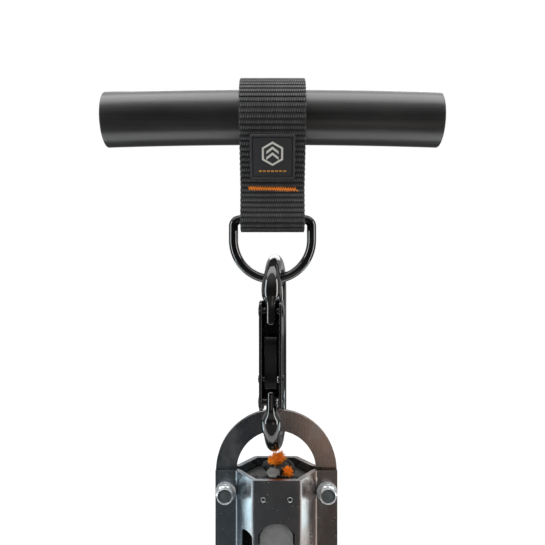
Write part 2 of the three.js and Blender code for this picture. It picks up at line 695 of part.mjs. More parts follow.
piece(trolley, 'wheel_carrier', wheelCarrier(), finish.castGrey);
piece(trolley, 'axle_pin', rod(axle.radius, -axleHalf, axleHalf, 'x').translate(0, 0, wheelZ),
  finish.zincBolt);
for (const [name, side] of [['circlip_left', -1], ['circlip_right', 1]]) {
  const near = carrierHalf + gap;
  piece(trolley, name, collar(axle.circlipRadius, axle.radius + gap, side * near,
    side * (near + axle.circlipThick), 'x').translate(0, 0, wheelZ), finish.springSteel);
}
piece(trolley, 'wheel_sheave', wheelSheave(), finish.wheelNylon);
for (const [name, side] of [['bearing_left', -1], ['bearing_right', 1]]) {
  piece(trolley, name, collar(wheel.boreRadius - gap, axle.radius + gap, side * gap,
    side * wheel.half, 'x', 20).translate(0, 0, wheelZ), finish.springSteel);
}

// ---------------------------------------------------------------- load rope, its knot and its thimble
const ropeBendZ = shellBottom - rope.belowShell;
const ropeTopZ = seatTop + rope.aboveSeat;

function loadRope() {
  const path = new THREE.Path();
  path.moveTo(-ropeX, ropeTopZ);
  path.lineTo(-ropeX, ropeBendZ);
  path.absarc(0, ropeBendZ, ropeX, turn / 2, turn, false);
  path.lineTo(ropeX, ropeTopZ);
  return swept(ellipseShape(ropeRadius, ropeRadius, rope.sides), new StandingCurve(path, 'y'), 56);
}

function loadThimble() {
  const grooveRadius = ropeRadius + thimble.fit;
  const flange = ropeX - grooveRadius + thimble.groove;
  const half = thimble.width / 2;
  const profile = [[thimble.bore, -half], [flange, -half]];
  const steps = 6;
  const lip = Math.asin((ropeX - flange) / grooveRadius);
  for (let i = 0; i <= steps; i += 1) {
    const angle = lip + (i / steps) * (Math.PI - 2 * lip);
    profile.push([ropeX - grooveRadius * Math.sin(angle), -grooveRadius * Math.cos(angle)]);
  }
  profile.push([flange, half], [thimble.bore, half], profile[0]);
  return spun(profile, 'y', 24).translate(0, 0, ropeBendZ);
}

const knotZ = seatTop + gap + knot.high / 2;
const knotRadii = [knot.wide / 2, knot.deep / 2, knot.high / 2];

const knotPlace = [knot.x, 0, knotZ];

/** A frayed rope end, cleared from the knot that it grows from. */
function tuft({ radii, from, lean }) {
  const blob = new THREE.SphereGeometry(1, 10, 7).scale(...radii)
    .rotateY(THREE.MathUtils.degToRad(lean))
    .translate(...from.map((offset, i) => knotPlace[i] + offset));
  return cut(blob, ellipsoid(knotRadii.map((r) => r + gap), knotPlace));
}

piece(trolley, 'rope_loop', loadRope(), finish.ropeBlack);
piece(trolley, 'load_thimble', loadThimble(), finish.zincBolt);
piece(trolley, 'rope_knot', ellipsoid(knotRadii, knotPlace), finish.ropeBlack);
piece(trolley, 'tuft_orange_large', tuft(tufts.largeOrange), finish.ropeOrange);
piece(trolley, 'tuft_orange_small', tuft(tufts.smallOrange), finish.ropeOrange);
piece(trolley, 'tuft_white', tuft(tufts.white), finish.ropeWhite);

export default assembly;
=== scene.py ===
"""Looks of a zip line trolley hung by a snap hook, a D-ring and a webbing sling from a round tube.

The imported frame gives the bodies, the joints and where each part lies. Sizes are in millimetres,
and a mesh is scaled to metres as it is made.
"""

import json
import logging
from dataclasses import dataclass, field
from enum import Enum
from math import acos, asin, atan2, copysign, cos, exp, hypot, pi, radians, sin, sqrt, tan
from typing import Any, Callable, Optional, Sequence

import bmesh
import bpy
from mathutils import Matrix, Vector


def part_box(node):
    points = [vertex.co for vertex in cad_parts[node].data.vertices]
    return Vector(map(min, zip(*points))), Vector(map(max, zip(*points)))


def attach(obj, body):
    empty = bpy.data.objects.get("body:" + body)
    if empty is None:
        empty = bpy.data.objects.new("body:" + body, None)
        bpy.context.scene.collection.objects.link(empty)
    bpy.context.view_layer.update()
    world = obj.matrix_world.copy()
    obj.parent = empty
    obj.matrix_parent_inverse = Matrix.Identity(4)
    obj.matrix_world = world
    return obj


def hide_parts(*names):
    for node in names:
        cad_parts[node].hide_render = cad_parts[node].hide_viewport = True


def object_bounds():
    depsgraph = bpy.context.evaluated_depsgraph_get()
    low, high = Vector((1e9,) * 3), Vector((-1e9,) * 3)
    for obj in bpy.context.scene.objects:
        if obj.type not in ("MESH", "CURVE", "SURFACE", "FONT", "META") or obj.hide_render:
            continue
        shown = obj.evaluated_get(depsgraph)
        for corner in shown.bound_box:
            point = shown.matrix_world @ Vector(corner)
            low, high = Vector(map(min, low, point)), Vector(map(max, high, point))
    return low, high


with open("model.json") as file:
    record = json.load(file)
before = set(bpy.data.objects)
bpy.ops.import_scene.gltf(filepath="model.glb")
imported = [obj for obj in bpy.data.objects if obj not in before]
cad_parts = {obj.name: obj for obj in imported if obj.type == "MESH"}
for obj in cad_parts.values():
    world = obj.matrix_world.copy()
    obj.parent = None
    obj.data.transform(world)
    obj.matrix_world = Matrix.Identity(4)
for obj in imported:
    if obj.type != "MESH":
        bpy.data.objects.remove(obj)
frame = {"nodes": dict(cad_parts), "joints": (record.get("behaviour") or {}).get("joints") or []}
cad_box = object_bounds()

MM = 0.001
TURN = 2 * pi
HANDS = {-1: "left", 1: "right"}
SHARP = 38.0  # degrees: an edge that bends more than this is shaded sharp
WIDEST = 9.0  # millimetres: further out than any of the hexagons' corners
ACROSS, BACK, UP = Vector((1, 0, 0)), Vector((0, 1, 0)), Vector((0, 0, 1))
log = logging.getLogger("trolley")

Flat = tuple[float, float]
Colour = tuple[float, float, float]
Piece, Socket, Material = bpy.types.Object, bpy.types.NodeSocket, bpy.types.Material


class Axis(Enum):
    """The axis that a shape is spun about or drawn out along."""

    X = 0
    Y = 1
    Z = 2


class Body(str, Enum):
    """The moving bodies of the frame."""

    BAR = "hanger_bar"
    SLING = "sling"
    RING = "d_ring"
    HOOK = "hook"
    GATE = "gate"
    LEVER = "lever"
    TROLLEY = "trolley"
    WHEEL = "wheel"


class Slot(str, Enum):
    """The record's material slots."""

    TUBE = "tube_black"
    PLASTIC = "plastic_black"
    WEBBING = "webbing"
    BADGE = "badge_rubber"
    THREAD = "thread_orange"
    GLOSS = "paint_gloss_black"
    SATIN = "paint_satin_black"
    SPRING = "spring_steel"
    PLATE = "zinc_plate"
    FASTENER = "zinc_fastener"
    CAST = "cast_grey"
    NYLON = "wheel_nylon"
    ROPE = "rope_black"
    ORANGE = "rope_orange"
    WHITE = "rope_white"


# --- the frame's places, in millimetres


def later(worked_out: Callable[[], Any]) -> Any:
    """A field that is worked out when its sub-assembly is made."""
    return field(default_factory=worked_out)


def joint_named(name: str) -> dict[str, Any]:
    """The frame's joint of that name, with its axis and place."""
    return next(joint for joint in frame["joints"] if joint["name"] == name)


def pivot(name: str) -> Vector:
    """The place that a joint turns about, in millimetres."""
    return Vector(joint_named(name)["pos_m"]) / MM


def box(node: str) -> tuple[Vector, Vector]:
    """The lowest and highest corner of a CAD node, in millimetres."""
    low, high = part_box(node)
    return low / MM, high / MM


def middle(node: str) -> Vector:
    """The middle of a CAD node's box, in millimetres."""
    low, high = box(node)
    return (low + high) / 2


# --- nodes


@dataclass(frozen=True)
class Wire:
    """A socket's value that takes part in sums; each sum adds its Math node."""

    tree: bpy.types.NodeTree
    socket: Socket

    def _sum(self, operation: str, first: Any, second: Any = 0.0) -> "Wire":
        """Adds one Math node.

        Args:
            operation: the node's operation.
            first: a wire or a number.
            second: a wire or a number.

        Returns:
            The node's value.
        """
        node = self.tree.nodes.new("ShaderNodeMath")
        node.operation = operation
        for place, value in enumerate((first, second)):
            if isinstance(value, Wire):
                self.tree.links.new(value.socket, node.inputs[place])
            else:
                node.inputs[place].default_value = float(value)
        return Wire(self.tree, node.outputs[0])

    def __add__(self, other: Any) -> "Wire":
        """Self plus other."""
        return self._sum("ADD", self, other)

    __radd__ = __add__

    def __sub__(self, other: Any) -> "Wire":
        """Self minus other."""
        return self._sum("SUBTRACT", self, other)

    def __rsub__(self, other: Any) -> "Wire":
        """Other minus self."""
        return self._sum("SUBTRACT", other, self)

    def __mul__(self, other: Any) -> "Wire":
        """Self times other."""
        return self._sum("MULTIPLY", self, other)

    __rmul__ = __mul__

    def __mod__(self, other: Any) -> "Wire":
        """What is left of self after whole others."""
        return self._sum("FLOORED_MODULO", self, other)

    def held(self) -> "Wire":
        """Self kept between nought and one."""
        return self._sum("MAXIMUM", self._sum("MINIMUM", self, 1.0), 0.0)


class NodeWriter:
    """Writes the nodes of one tree."""

    def __init__(self, tree: bpy.types.NodeTree) -> None:
        """Args:
        tree: the node tree to write in.
        """
        self.tree = tree

    @staticmethod
    def _socket(sockets: Any, key: Any) -> Socket:
        """A socket by its number, identifier or name."""
        if isinstance(key, int):
            return sockets[key]
        found = [s for s in sockets if s.identifier == key] + [s for s in sockets if s.name == key]
        return found[0]

    def node(self, kind: str, settings: Optional[dict[str, Any]] = None,
             inputs: Optional[dict[Any, Any]] = None) -> bpy.types.Node:
        """Adds a node.

        Args:
            kind: the node's type.
            settings: the node's own settings; "stops" are a ramp's places and colours.
            inputs: values or links by socket number, identifier or name.

        Returns:
            The node.
        """
        made = self.tree.nodes.new(kind)
        for name, value in (settings or {}).items():
            if name == "stops":
                while len(made.color_ramp.elements) < len(value):
                    made.color_ramp.elements.new(0.5)
                for element, (place, colour) in zip(made.color_ramp.elements, value):
                    element.position = place
                    element.color = (*colour, 1.0)
            else:
                setattr(made, name, value)
        for key, value in (inputs or {}).items():
            target = self._socket(made.inputs, key)
            if isinstance(value, Wire):
                self.tree.links.new(value.socket, target)
            elif isinstance(value, Socket):
                self.tree.links.new(value, target)
            else:
                target.default_value = value
        return made

    def wire(self, node: bpy.types.Node, output: Any = 0) -> Wire:
        """A node's output as a wire."""
        return Wire(self.tree, self._socket(node.outputs, output))

    def step(self, value: Wire, start: float, end: float, low: float = 0.0, high: float = 1.0) -> Wire:
        """Low where the value is below start, high above end, and smooth between."""
        node = self.node("ShaderNodeMapRange", {"interpolation_type": "SMOOTHSTEP"}, {
            "Value": value, "From Min": start, "From Max": end, "To Min": low, "To Max": high})
        return self.wire(node, "Result")


class Recipe(NodeWriter):
    """The nodes of one material, on Object coordinates."""

    def __init__(self, name: str) -> None:
        """Args:
        name: the material's name.
        """
        self.material = bpy.data.materials.new(name)
        self.material.use_nodes = True
        super().__init__(self.material.node_tree)
        self.tree.nodes.clear()
        self.shader = self.node("ShaderNodeBsdfPrincipled")
        output = self.node("ShaderNodeOutputMaterial")
        self.tree.links.new(self.shader.outputs[0], output.inputs["Surface"])
        self.place = self.node("ShaderNodeTexCoord").outputs["Object"]

    def stretched(self, stretch: Colour) -> Socket:
        """The place, scaled along each axis."""
        mapping = self.node("ShaderNodeMapping", inputs={"Vector": self.place, "Scale": stretch})
        return mapping.outputs[0]

    def noise(self, size: float, detail: float = 3.0, stretch: Colour = (1.0, 1.0, 1.0),
              roughness: float = 0.5) -> Wire:
        """Smooth random values.

        Args:
            size: how far apart the patches lie, in millimetres.
            detail: octaves of finer noise.
            stretch: scale along each axis; under 1 draws the patches out.
            roughness: weight of the finer octaves.

        Returns:
            A value of about 0.3 to 0.7.
        """
        vector = self.stretched(stretch)
        node = self.node("ShaderNodeTexNoise", inputs={
            "Vector": vector, "Scale": 1 / (size * MM), "Detail": detail, "Roughness": roughness})
        return self.wire(node, "Fac")

    def cells(self, size: float, stretch: Colour = (1.0, 1.0, 1.0)) -> Wire:
        """Distance to the nearest of scattered points, which lie about size millimetres apart."""
        vector = self.stretched(stretch)
        node = self.node("ShaderNodeTexVoronoi", inputs={"Vector": vector, "Scale": 1 / (size * MM)})
        return self.wire(node, "Distance")

    def part(self, axis: Axis) -> Wire:
        """One coordinate of the place, in metres."""
        node = self.node("ShaderNodeSeparateXYZ", inputs={0: self.place})
        return self.wire(node, axis.value)

    def mix(self, factor: Any, first: Any, second: Any) -> Wire:
        """A mix of two colours.

        Args:
            factor: the share of the second.
            first: a wire or a colour.
            second: a wire or a colour.

        Returns:
            The mixed colour.
        """
        colours = [c if isinstance(c, Wire) else (*c, 1.0) for c in (first, second)]
        node = self.node("ShaderNodeMix", {"data_type": "RGBA"}, {
            "Factor_Float": factor, "A_Color": colours[0], "B_Color": colours[1]})
        return self.wire(node, "Result_Color")

    def bump(self, height: Wire, depth: float, strength: float = 1.0) -> Wire:
        """A surface normal from a height of nought to one, depth millimetres deep."""
        node = self.node("ShaderNodeBump", inputs={
            "Strength": strength, "Distance": depth * MM, "Height": height})
        return self.wire(node, "Normal")

    def dress(self, **sockets: Any) -> Material:
        """Sets the shader's sockets, by their names with _ for a space.

        Args:
            sockets: values or wires.

        Returns:
            The finished material.
        """
        for name, value in sockets.items():
            target = self.shader.inputs[name.replace("_", " ")]
            if isinstance(value, Wire):
                self.tree.links.new(value.socket, target)
            elif isinstance(value, tuple) and len(value) == 3:
                target.default_value = (*value, 1.0)
            else:
                target.default_value = value
        return self.material


# --- finishes


@dataclass(frozen=True)
class Finish:
    """What every finish has."""

    name: str

    def build(self) -> Material:
        """Writes the finish's material."""
        raise NotImplementedError


@dataclass(frozen=True)
class TubeLacquer(Finish):
    """Satin black lacquer on drawn tube, with long draw lines and a few knocks; its lighter streaks along the
    tube are partly draw lines and partly painted highlight streaks.
    """

    base: Colour = (0.009, 0.009, 0.0093)
    # The lighter colour serves both random tone and painted highlight streaks.
    wear_and_highlight: Colour = (0.034, 0.033, 0.031)
    roughness: float = 0.34

    def build(self) -> Material:
        """Writes the finish's material."""
        r = Recipe(self.name)
        lines = r.noise(1.6, 4, (0.012, 1.0, 1.0))
        haze = r.noise(34, 3, (0.5, 1.0, 1.0))
        grain = r.noise(0.55, 2)
        knocks = 1 - r.step(r.cells(46, (0.8, 1.0, 1.0)), 0.035, 0.06)
        dust = r.step(r.noise(1.1, 1), 0.7, 0.78)
        # Partly painted highlight: the streaks along the tube are drawn lighter for highlight streaks as well
        # as for draw lines; haze adds lighter tone at random.
        colour = r.mix((haze * 0.55 + lines * 0.45 - 0.28).held(), self.base, self.wear_and_highlight)
        colour = r.mix(knocks * 0.7, colour, (0.008, 0.007, 0.006))
        colour = r.mix(dust * 0.25, colour, (0.16, 0.155, 0.15))
        rough = (self.roughness + (lines - 0.5) * 0.26 + (haze - 0.5) * 0.22 + knocks * 0.2).held()
        height = lines * 0.4 + grain * 0.5 - knocks * 0.6
        return r.dress(Base_Color=colour, Roughness=rough, Normal=r.bump(height, 0.05, 0.5),
                       Specular_IOR_Level=0.6, Coat_Weight=0.55, Coat_Roughness=0.3)


@dataclass(frozen=True)
class Moulding(Finish):
    """Moulded rubber, plastic or nylon with a fine spark-eroded grain."""

    base: Colour = (0.012, 0.012, 0.013)
    pale: Colour = (0.03, 0.03, 0.032)
    roughness: float = 0.5
    grain: float = 0.35
    grain_depth: float = 0.04

    def build(self) -> Material:
        """Writes the finish's material."""
        r = Recipe(self.name)
        fine = r.noise(self.grain, 3, roughness=0.65)
        cloud = r.noise(7, 3)
        dust = r.step(r.noise(0.6, 1), 0.7, 0.8)
        colour = r.mix((cloud * 0.8 + fine * 0.4 - 0.1).held(), self.base, self.pale)
        colour = r.mix(dust * 0.2, colour, (0.3, 0.29, 0.28))
        rough = (self.roughness + (cloud - 0.5) * 0.3 + (fine - 0.5) * 0.15).held()
        return r.dress(Base_Color=colour, Roughness=rough, Normal=r.bump(fine, self.grain_depth, 0.7))


@dataclass(frozen=True)
class Enamel(Finish):
    """Black enamel over a forging or a pressing, with faint orange peel and rubbed edges."""

    base: Colour = (0.0045, 0.0045, 0.005)
    rubbed: Colour = (0.022, 0.02, 0.019)
    roughness: float = 0.1
    coat: float = 0.7
    peel: float = 2.4
    peel_depth: float = 0.03

    def build(self) -> Material:
        """Writes the finish's material."""
        r = Recipe(self.name)
        peel = r.noise(self.peel, 2)
        cloud = r.noise(13, 3)
        fine = r.noise(0.5, 2)
        scratches = r.step(r.noise(0.9, 2, (1.0, 1.0, 0.08)), 0.66, 0.74)
        colour = r.mix((cloud - 0.35).held(), self.base, self.rubbed)
        rough = (self.roughness + (cloud - 0.5) * 0.16 + scratches * 0.16 + (fine - 0.5) * 0.05).held()
        height = peel - scratches * 0.15
        return r.dress(Base_Color=colour, Roughness=rough, Normal=r.bump(height, self.peel_depth, 0.6),
                       Coat_Weight=self.coat, Coat_Roughness=0.05, Specular_IOR_Level=0.6)


@dataclass(frozen=True)
class ZincPlate(Finish):
    """Bright zinc on cut and pressed sheet: rolling lines, stain clouds and specks."""

    # cool and warm are painted light: the tones that the left and the right side take from the studio's light
    # and reflections; centre and reach, in millimetres, place that change along X.
    cool: Colour = (0.15, 0.18, 0.21)
    warm: Colour = (0.42, 0.32, 0.27)
    bright: Colour = (0.6, 0.66, 0.68)
    roughness: float = 0.26
    centre: float = 3.0
    reach: float = 44.0
    specks: float = 1.0

    def build(self) -> Material:
        """Writes the finish's material."""
        r = Recipe(self.name)
        # Painted light: the colour runs from cool on the left to warm on the right across the housing, for
        # how light and reflections fall, broken up by the cloud.
        across = r.step(r.part(Axis.X), (self.centre - self.reach) * MM, (self.centre + self.reach) * MM)
        cloud = r.noise(24, 4, (1.0, 1.0, 0.6), 0.55)
        stain = r.noise(6, 4, roughness=0.6)
        rolling = r.noise(0.7, 3, (1.0, 1.0, 0.05))
        grain = r.noise(0.35, 2)
        painted_side_light = r.mix((across + (cloud - 0.5) * 1.3).held(), self.cool, self.warm)
        colour = r.mix(r.step(cloud, 0.5, 0.72) * 0.35 + (stain - 0.4).held() * 0.25, painted_side_light, self.bright)
        speck_field = r.cells(2.6)
        specks = (1 - r.step(speck_field, 0.07, 0.12)) * r.step(r.noise(9, 1), 0.5, 0.6) * self.specks
        colour = r.mix(specks * 0.6, colour, (0.85, 0.87, 0.86))
        rough = (self.roughness + (cloud - 0.5) * 0.26 + (rolling - 0.5) * 0.16 + specks * 0.2).held()
        height = rolling * 0.5 + grain * 0.3 + stain * 0.3 + specks * 0.5
        return r.dress(Base_Color=colour, Roughness=rough, Metallic=1 - specks * 0.3,
                       Normal=r.bump(height, 0.05, 0.45))


@dataclass(frozen=True)
class TurnedMetal(Finish):
    """Plated or bare turned metal: fasteners, springs, pins and bearings."""

    base: Colour = (0.62, 0.66, 0.68)
    dull: Colour = (0.3, 0.31, 0.32)
    roughness: float = 0.2
    metallic: float = 1.0

    def build(self) -> Material:
        """Writes the finish's material."""
        r = Recipe(self.name)
        cloud = r.noise(3.2, 4, roughness=0.6)
        grain = r.noise(0.28, 2)
        smear = r.noise(1.4, 3, (1.0, 0.25, 1.0))
        colour = r.mix(r.step(cloud, 0.42, 0.68) * 0.8, self.base, self.dull)
        rough = (self.roughness + (cloud - 0.45) * 0.35 + (smear - 0.5) * 0.2).held()
        return r.dress(Base_Color=colour, Roughness=rough, Metallic=self.metallic,
                       Normal=r.bump(smear * 0.6 + grain * 0.4, 0.04, 0.5))


@dataclass(frozen=True)
class SandCast(Finish):
    """Tumbled grey casting with pale specks and a sandy skin."""

    base: Colour = (0.2, 0.205, 0.205)
    pale: Colour = (0.4, 0.405, 0.4)
    roughness: float = 0.5

    def build(self) -> Material:
        """Writes the finish's material."""
        r = Recipe(self.name)
        sand = r.noise(0.6, 4, roughness=0.7)
        cloud = r.noise(8, 4)
        specks = 1 - r.step(r.cells(1.7), 0.1, 0.2)
        pits = r.step(r.noise(1.3, 1), 0.66, 0.74)
        colour = r.mix((cloud * 0.7 + sand * 0.7 - 0.25).held(), self.base, self.pale)
        colour = r.mix(specks * 0.5, colour, (0.62, 0.63, 0.61))
        colour = r.mix(pits * 0.6, colour, (0.06, 0.06, 0.06))
        rough = (self.roughness + (sand - 0.5) * 0.3).held()
        return r.dress(Base_Color=colour, Roughness=rough, Metallic=0.55,
                       Normal=r.bump(sand - pits * 0.5, 0.12, 0.7))


@dataclass(frozen=True)
class Yarn(Finish):
    """Spun fibre: fine filaments, lighter crests and a soft sheen."""

    base: Colour = (0.010, 0.010, 0.011)
    crest: Colour = (0.04, 0.04, 0.042)
    roughness: float = 0.62
    sheen: float = 0.25
    filament: float = 0.16
    drawn: Colour = (1.0, 0.35, 0.35)

    def build(self) -> Material:
        """Writes the finish's material."""
        r = Recipe(self.name)
        filaments = r.noise(self.filament, 3, self.drawn, 0.6)
        cloud = r.noise(5, 3)
        rub = r.noise(26, 2)
        colour = r.mix((filaments * 0.9 + cloud * 0.5 + (rub - 0.5) * 0.6 - 0.25).held(),
                       self.base, self.crest)
        rough = (self.roughness + (filaments - 0.5) * 0.35 - (rub - 0.5) * 0.3).held()
        return r.dress(Base_Color=colour, Roughness=rough, Normal=r.bump(filaments, 0.09, 0.8),
                       Sheen_Weight=self.sheen, Sheen_Roughness=0.4)


TUBE = TubeLacquer("tube_lacquer")
PLUG = Moulding("plug_plastic", roughness=0.55, grain=0.6, grain_depth=0.06)
RUBBER_FIELD = Moulding("badge_field", (0.014, 0.014, 0.0155), (0.026, 0.026, 0.029), 0.62, 0.3, 0.03)
RUBBER_RIM = Moulding("badge_rim", (0.034, 0.034, 0.037), (0.055, 0.055, 0.058), 0.55, 0.3, 0.03)
INK_PALE = Moulding("badge_pale", (0.62, 0.6, 0.54), (0.78, 0.77, 0.72), 0.6, 0.3, 0.03)
INK_AMBER = Moulding("badge_amber", (0.55, 0.22, 0.03), (0.75, 0.36, 0.06), 0.6, 0.3, 0.03)
NYLON = Moulding("wheel_nylon", (0.03, 0.03, 0.031), (0.06, 0.06, 0.06), 0.38, 0.8, 0.04)
# Painted shade: dark with pale bluish mottling, for the shade inside the nuts' collars.
INSERT_IN_SHADE = Moulding("nut_insert", (0.03, 0.037, 0.04), (0.13, 0.15, 0.155), 0.42, 0.9, 0.08)
WEBBING = Yarn("webbing_body", (0.003, 0.003, 0.0034), (0.011, 0.011, 0.0115), 0.6, 0.08)
# Partly painted sheen: the floats' light colour is their yarn's tone and also stands for the sheen that they
# catch.
WEBBING_FLOAT = Yarn("webbing_float", (0.024, 0.024, 0.026), (0.15, 0.15, 0.153), 0.45, 0.3)
THREAD = Yarn("thread_orange", (1.0, 0.19, 0.0), (1.0, 0.38, 0.004), 0.5, 0.1, 0.14)
ROPE = Yarn("rope_black", (0.002, 0.002, 0.0025), (0.018, 0.018, 0.019), 0.7, 0.04, 0.2, (0.6, 0.6, 0.6))
ROPE_ORANGE = Yarn("rope_orange", (1.0, 0.25, 0.0), (1.0, 0.42, 0.002), 0.6, 0.1, 0.2, (0.6, 0.6, 0.4))
ROPE_WHITE = Yarn("rope_white", (0.07, 0.07, 0.068), (0.85, 0.84, 0.8), 0.6, 0.2, 0.2, (0.6, 0.6, 0.4))
GLOSS = Enamel("enamel_gloss")
SATIN = Enamel("enamel_satin", (0.006, 0.006, 0.0065), (0.02, 0.019, 0.018), 0.24, 0.25, 1.2, 0.04)
# Both zinc finishes carry painted light that runs from cool on the left to warm on the right.
PLATE = ZincPlate("zinc_plate")
SHEET = ZincPlate("zinc_sheet", (0.2, 0.245, 0.28), (0.29, 0.235, 0.21), (0.62, 0.68, 0.70), 0.22)
FASTENER = TurnedMetal("zinc_fastener", (0.84, 0.88, 0.89), (0.46, 0.48, 0.49), 0.24, 0.62)
SPRING = TurnedMetal("spring_steel", (0.5, 0.5, 0.49), (0.22, 0.22, 0.22), 0.26)
POLISHED = TurnedMetal("zinc_polished", (0.68, 0.7, 0.71), (0.42, 0.43, 0.44), 0.14)
CAST = SandCast("cast_grey")
# Painted shade: the rope seat is coloured near black for the shade inside the housing.
SEAT_IN_SHADE = SandCast("seat_grey", (0.014, 0.013, 0.012), (0.045, 0.043, 0.041), 0.6)


class PaintShop:
    """Builds each finish once and puts it on the pieces."""

    def __init__(self) -> None:
        """Starts with no finish mixed."""
        self.mixed: dict[Finish, Material] = {}

    def material(self, finish: Finish) -> Material:
        """The finish's material, made at its first use."""
        if finish not in self.mixed:
            self.mixed[finish] = finish.build()
        return self.mixed[finish]

    def coat(self, piece: Piece, finish: Finish) -> None:
        """Puts one finish over the whole of a piece."""
        piece.data.materials.clear()
        piece.data.materials.append(self.material(finish))


shop = PaintShop()


# --- shapes, in millimetres


@dataclass
class Form:
    """Corners and faces of a shape."""

    corners: list[Vector]
    faces: list[tuple[int, ...]]

    def moved(self, matrix: Matrix) -> "Form":
        """The same shape somewhere else."""
        return Form([matrix @ corner for corner in self.corners], list(self.faces))

    def shifted(self, x: float = 0.0, y: float = 0.0, z: float = 0.0) -> "Form":
        """The same shape, moved without turning."""
        return self.moved(Matrix.Translation((x, y, z)))

    def __add__(self, other: "Form") -> "Form":
        """Both shapes side by side."""
        start = len(self.corners)
        return Form(self.corners + other.corners,
                    self.faces + [tuple(i + start for i in f) for f in other.faces])


def lift(point: Flat, along: float, axis: Axis) -> Vector:
    """A flat point, square to an axis, as a place in space."""
    first, second = point
    places = {Axis.X: (along, first, second), Axis.Y: (first, along, second), Axis.Z: (first, second, along)}
    return Vector(places[axis])


def lofted(rings: Sequence[Sequence[Vector]], is_loop: bool = False) -> Form:
    """Joins rings of the same number of points with quads.

    Args:
        rings: closed rings in order.
        is_loop: True if the last ring joins the first, and there are no end faces.

    Returns:
        The closed shape.
    """
    count = len(rings[0])
    corners = [Vector(point) for ring in rings for point in ring]
    faces = []
    for i in range(len(rings) if is_loop else len(rings) - 1):
        here, there = i * count, ((i + 1) % len(rings)) * count
        for j in range(count):
            k = (j + 1) % count
            faces.append((here + j, here + k, there + k, there + j))
    if not is_loop:
        faces.append(tuple(range(count)))
        faces.append(tuple(range(len(corners) - 1, len(corners) - 1 - count, -1)))
    return Form(corners, faces)


def spun(profile: Sequence[Flat], axis: Axis, steps: int = 64, is_loop: bool = False) -> Form:
    """A profile of (radius, place along) turned about an axis.

    Args:
        profile: the points; an open one starts and ends on the axis.
        axis: what it is turned about.
        steps: faces around.
        is_loop: True for a ring, whose profile closes on itself.

    Returns:
        The shape.
    """
    rings = []
    for radius, along in profile:
        angles = [TURN * i / steps for i in range(steps)]
        rings.append([lift((radius * cos(a), radius * sin(a)), along, axis) for a in angles])
    form = lofted(rings, is_loop)
    if not is_loop:
        form.faces = form.faces[:-2]
    return form


def prism(outline: Sequence[Flat], low: float, high: float, axis: Axis) -> Form:
    """A flat outline drawn out from low to high along an axis."""
    return lofted([[lift(p, low, axis) for p in outline], [lift(p, high, axis) for p in outline]])


def rod(radius: float, low: float, high: float, axis: Axis, steps: int = 40) -> Form:
    """A round bar without end rounding, used as a drill."""
    return spun([(0, low), (radius, low), (radius, high), (0, high)], axis, steps)


def arc(centre: Flat, radius: float, start: float, end: float, steps: int) -> list[Flat]:
    """Points on an arc, from one angle to another."""
    angles = [start + (end - start) * i / steps for i in range(steps + 1)]
    return [(centre[0] + radius * cos(a), centre[1] + radius * sin(a)) for a in angles]


def filleted(points: Sequence[Flat], radii: Sequence[float], steps: int = 6) -> list[Flat]:
    """A closed outline with its corners rounded.

    Args:
        points: the corners in order.
        radii: one radius for each corner; nought keeps it sharp.
        steps: points in each round.

    Returns:
        The outline's points.
    """
    outline = []
    for i, (point, radius) in enumerate(zip(points, radii)):
        here = Vector(point)
        back = (Vector(points[i - 1]) - here).normalized()
        ahead = (Vector(points[(i + 1) % len(points)]) - here).normalized()
        bisector = back + ahead
        if radius == 0 or bisector.length < 1e-6:
            outline.append(tuple(here))
            continue
        half = acos(max(-1.0, min(1.0, back.dot(ahead)))) / 2
        centre = here + bisector.normalized() * (radius / sin(half))
        first = here + back * (radius / tan(half)) - centre
        last = here + ahead * (radius / tan(half)) - centre
        start = atan2(first.y, first.x)
        swing = (atan2(last.y, last.x) - start + pi) % TURN - pi
        outline += arc(tuple(centre), radius, start, start + swing, steps)
    return outline


def rectangle(low: Flat, high: Flat, radius: float, steps: int = 6) -> list[Flat]:
    """A rectangle with its corners rounded."""
    corners = [(high[0], high[1]), (low[0], high[1]), (low[0], low[1]), (high[0], low[1])]
    return filleted(corners, [radius] * 4, steps)


def swept(path: Sequence[Vector], across: Vector, section: Sequence[Flat], is_loop: bool,
          scales: Optional[Sequence[Flat]] = None) -> Form:
    """A section carried along a path that lies in one plane.

    Args:
        path: the centre line.
        across: the direction square to the path's plane.
        section: points of (across, outward).
        is_loop: True if the path closes on itself.
        scales: the section's two scales at each point of the path.

    Returns:
        The shape.
    """
    rings = []
    last = len(path) - 1
    for i, place in enumerate(path):
        before = path[i - 1] if i > 0 or is_loop else path[i]
        after = path[(i + 1) % len(path)] if i < last or is_loop else path[i]
        outward = (after - before).normalized().cross(across)
        wide, deep = scales[i] if scales else (1.0, 1.0)
        rings.append([place + across * (u * wide) + outward * (v * deep) for u, v in section])
    return lofted(rings, is_loop)


def mirrored(points: Sequence[Flat]) -> list[Flat]:
    """The points back to front, with their second number's sign changed."""
    return [(first, -second) for first, second in reversed(points)]


def flipped(points: Sequence[Flat]) -> list[Flat]:
    """The points back to front, with their first number's sign changed."""
    return [(-first, second) for first, second in reversed(points)]


def arched(half: float, pull: float, foot: float, shoulder: float, apex: float, steps: int) -> list[Flat]:
    """An outline with upright sides and one smooth curve over the top.

    Args:
        half: its half width.
        pull: how far in from the side the curve's corner point lies.
        foot: the lower edge.
        shoulder: where the curve starts.
        apex: the top.
        steps: points on each half of the curve.

    Returns:
        The closed outline.
    """
    side = [(half, foot), (half, shoulder)]
    for k in range(1, steps + 1):
        t = k / steps
        x = half * (1 - t) ** 2 + 2 * (half - pull) * t * (1 - t)
        side.append((x, shoulder * (1 - t) ** 2 + 2 * apex * t * (1 - t) + apex * t * t))
    return side + flipped(side[:-1])


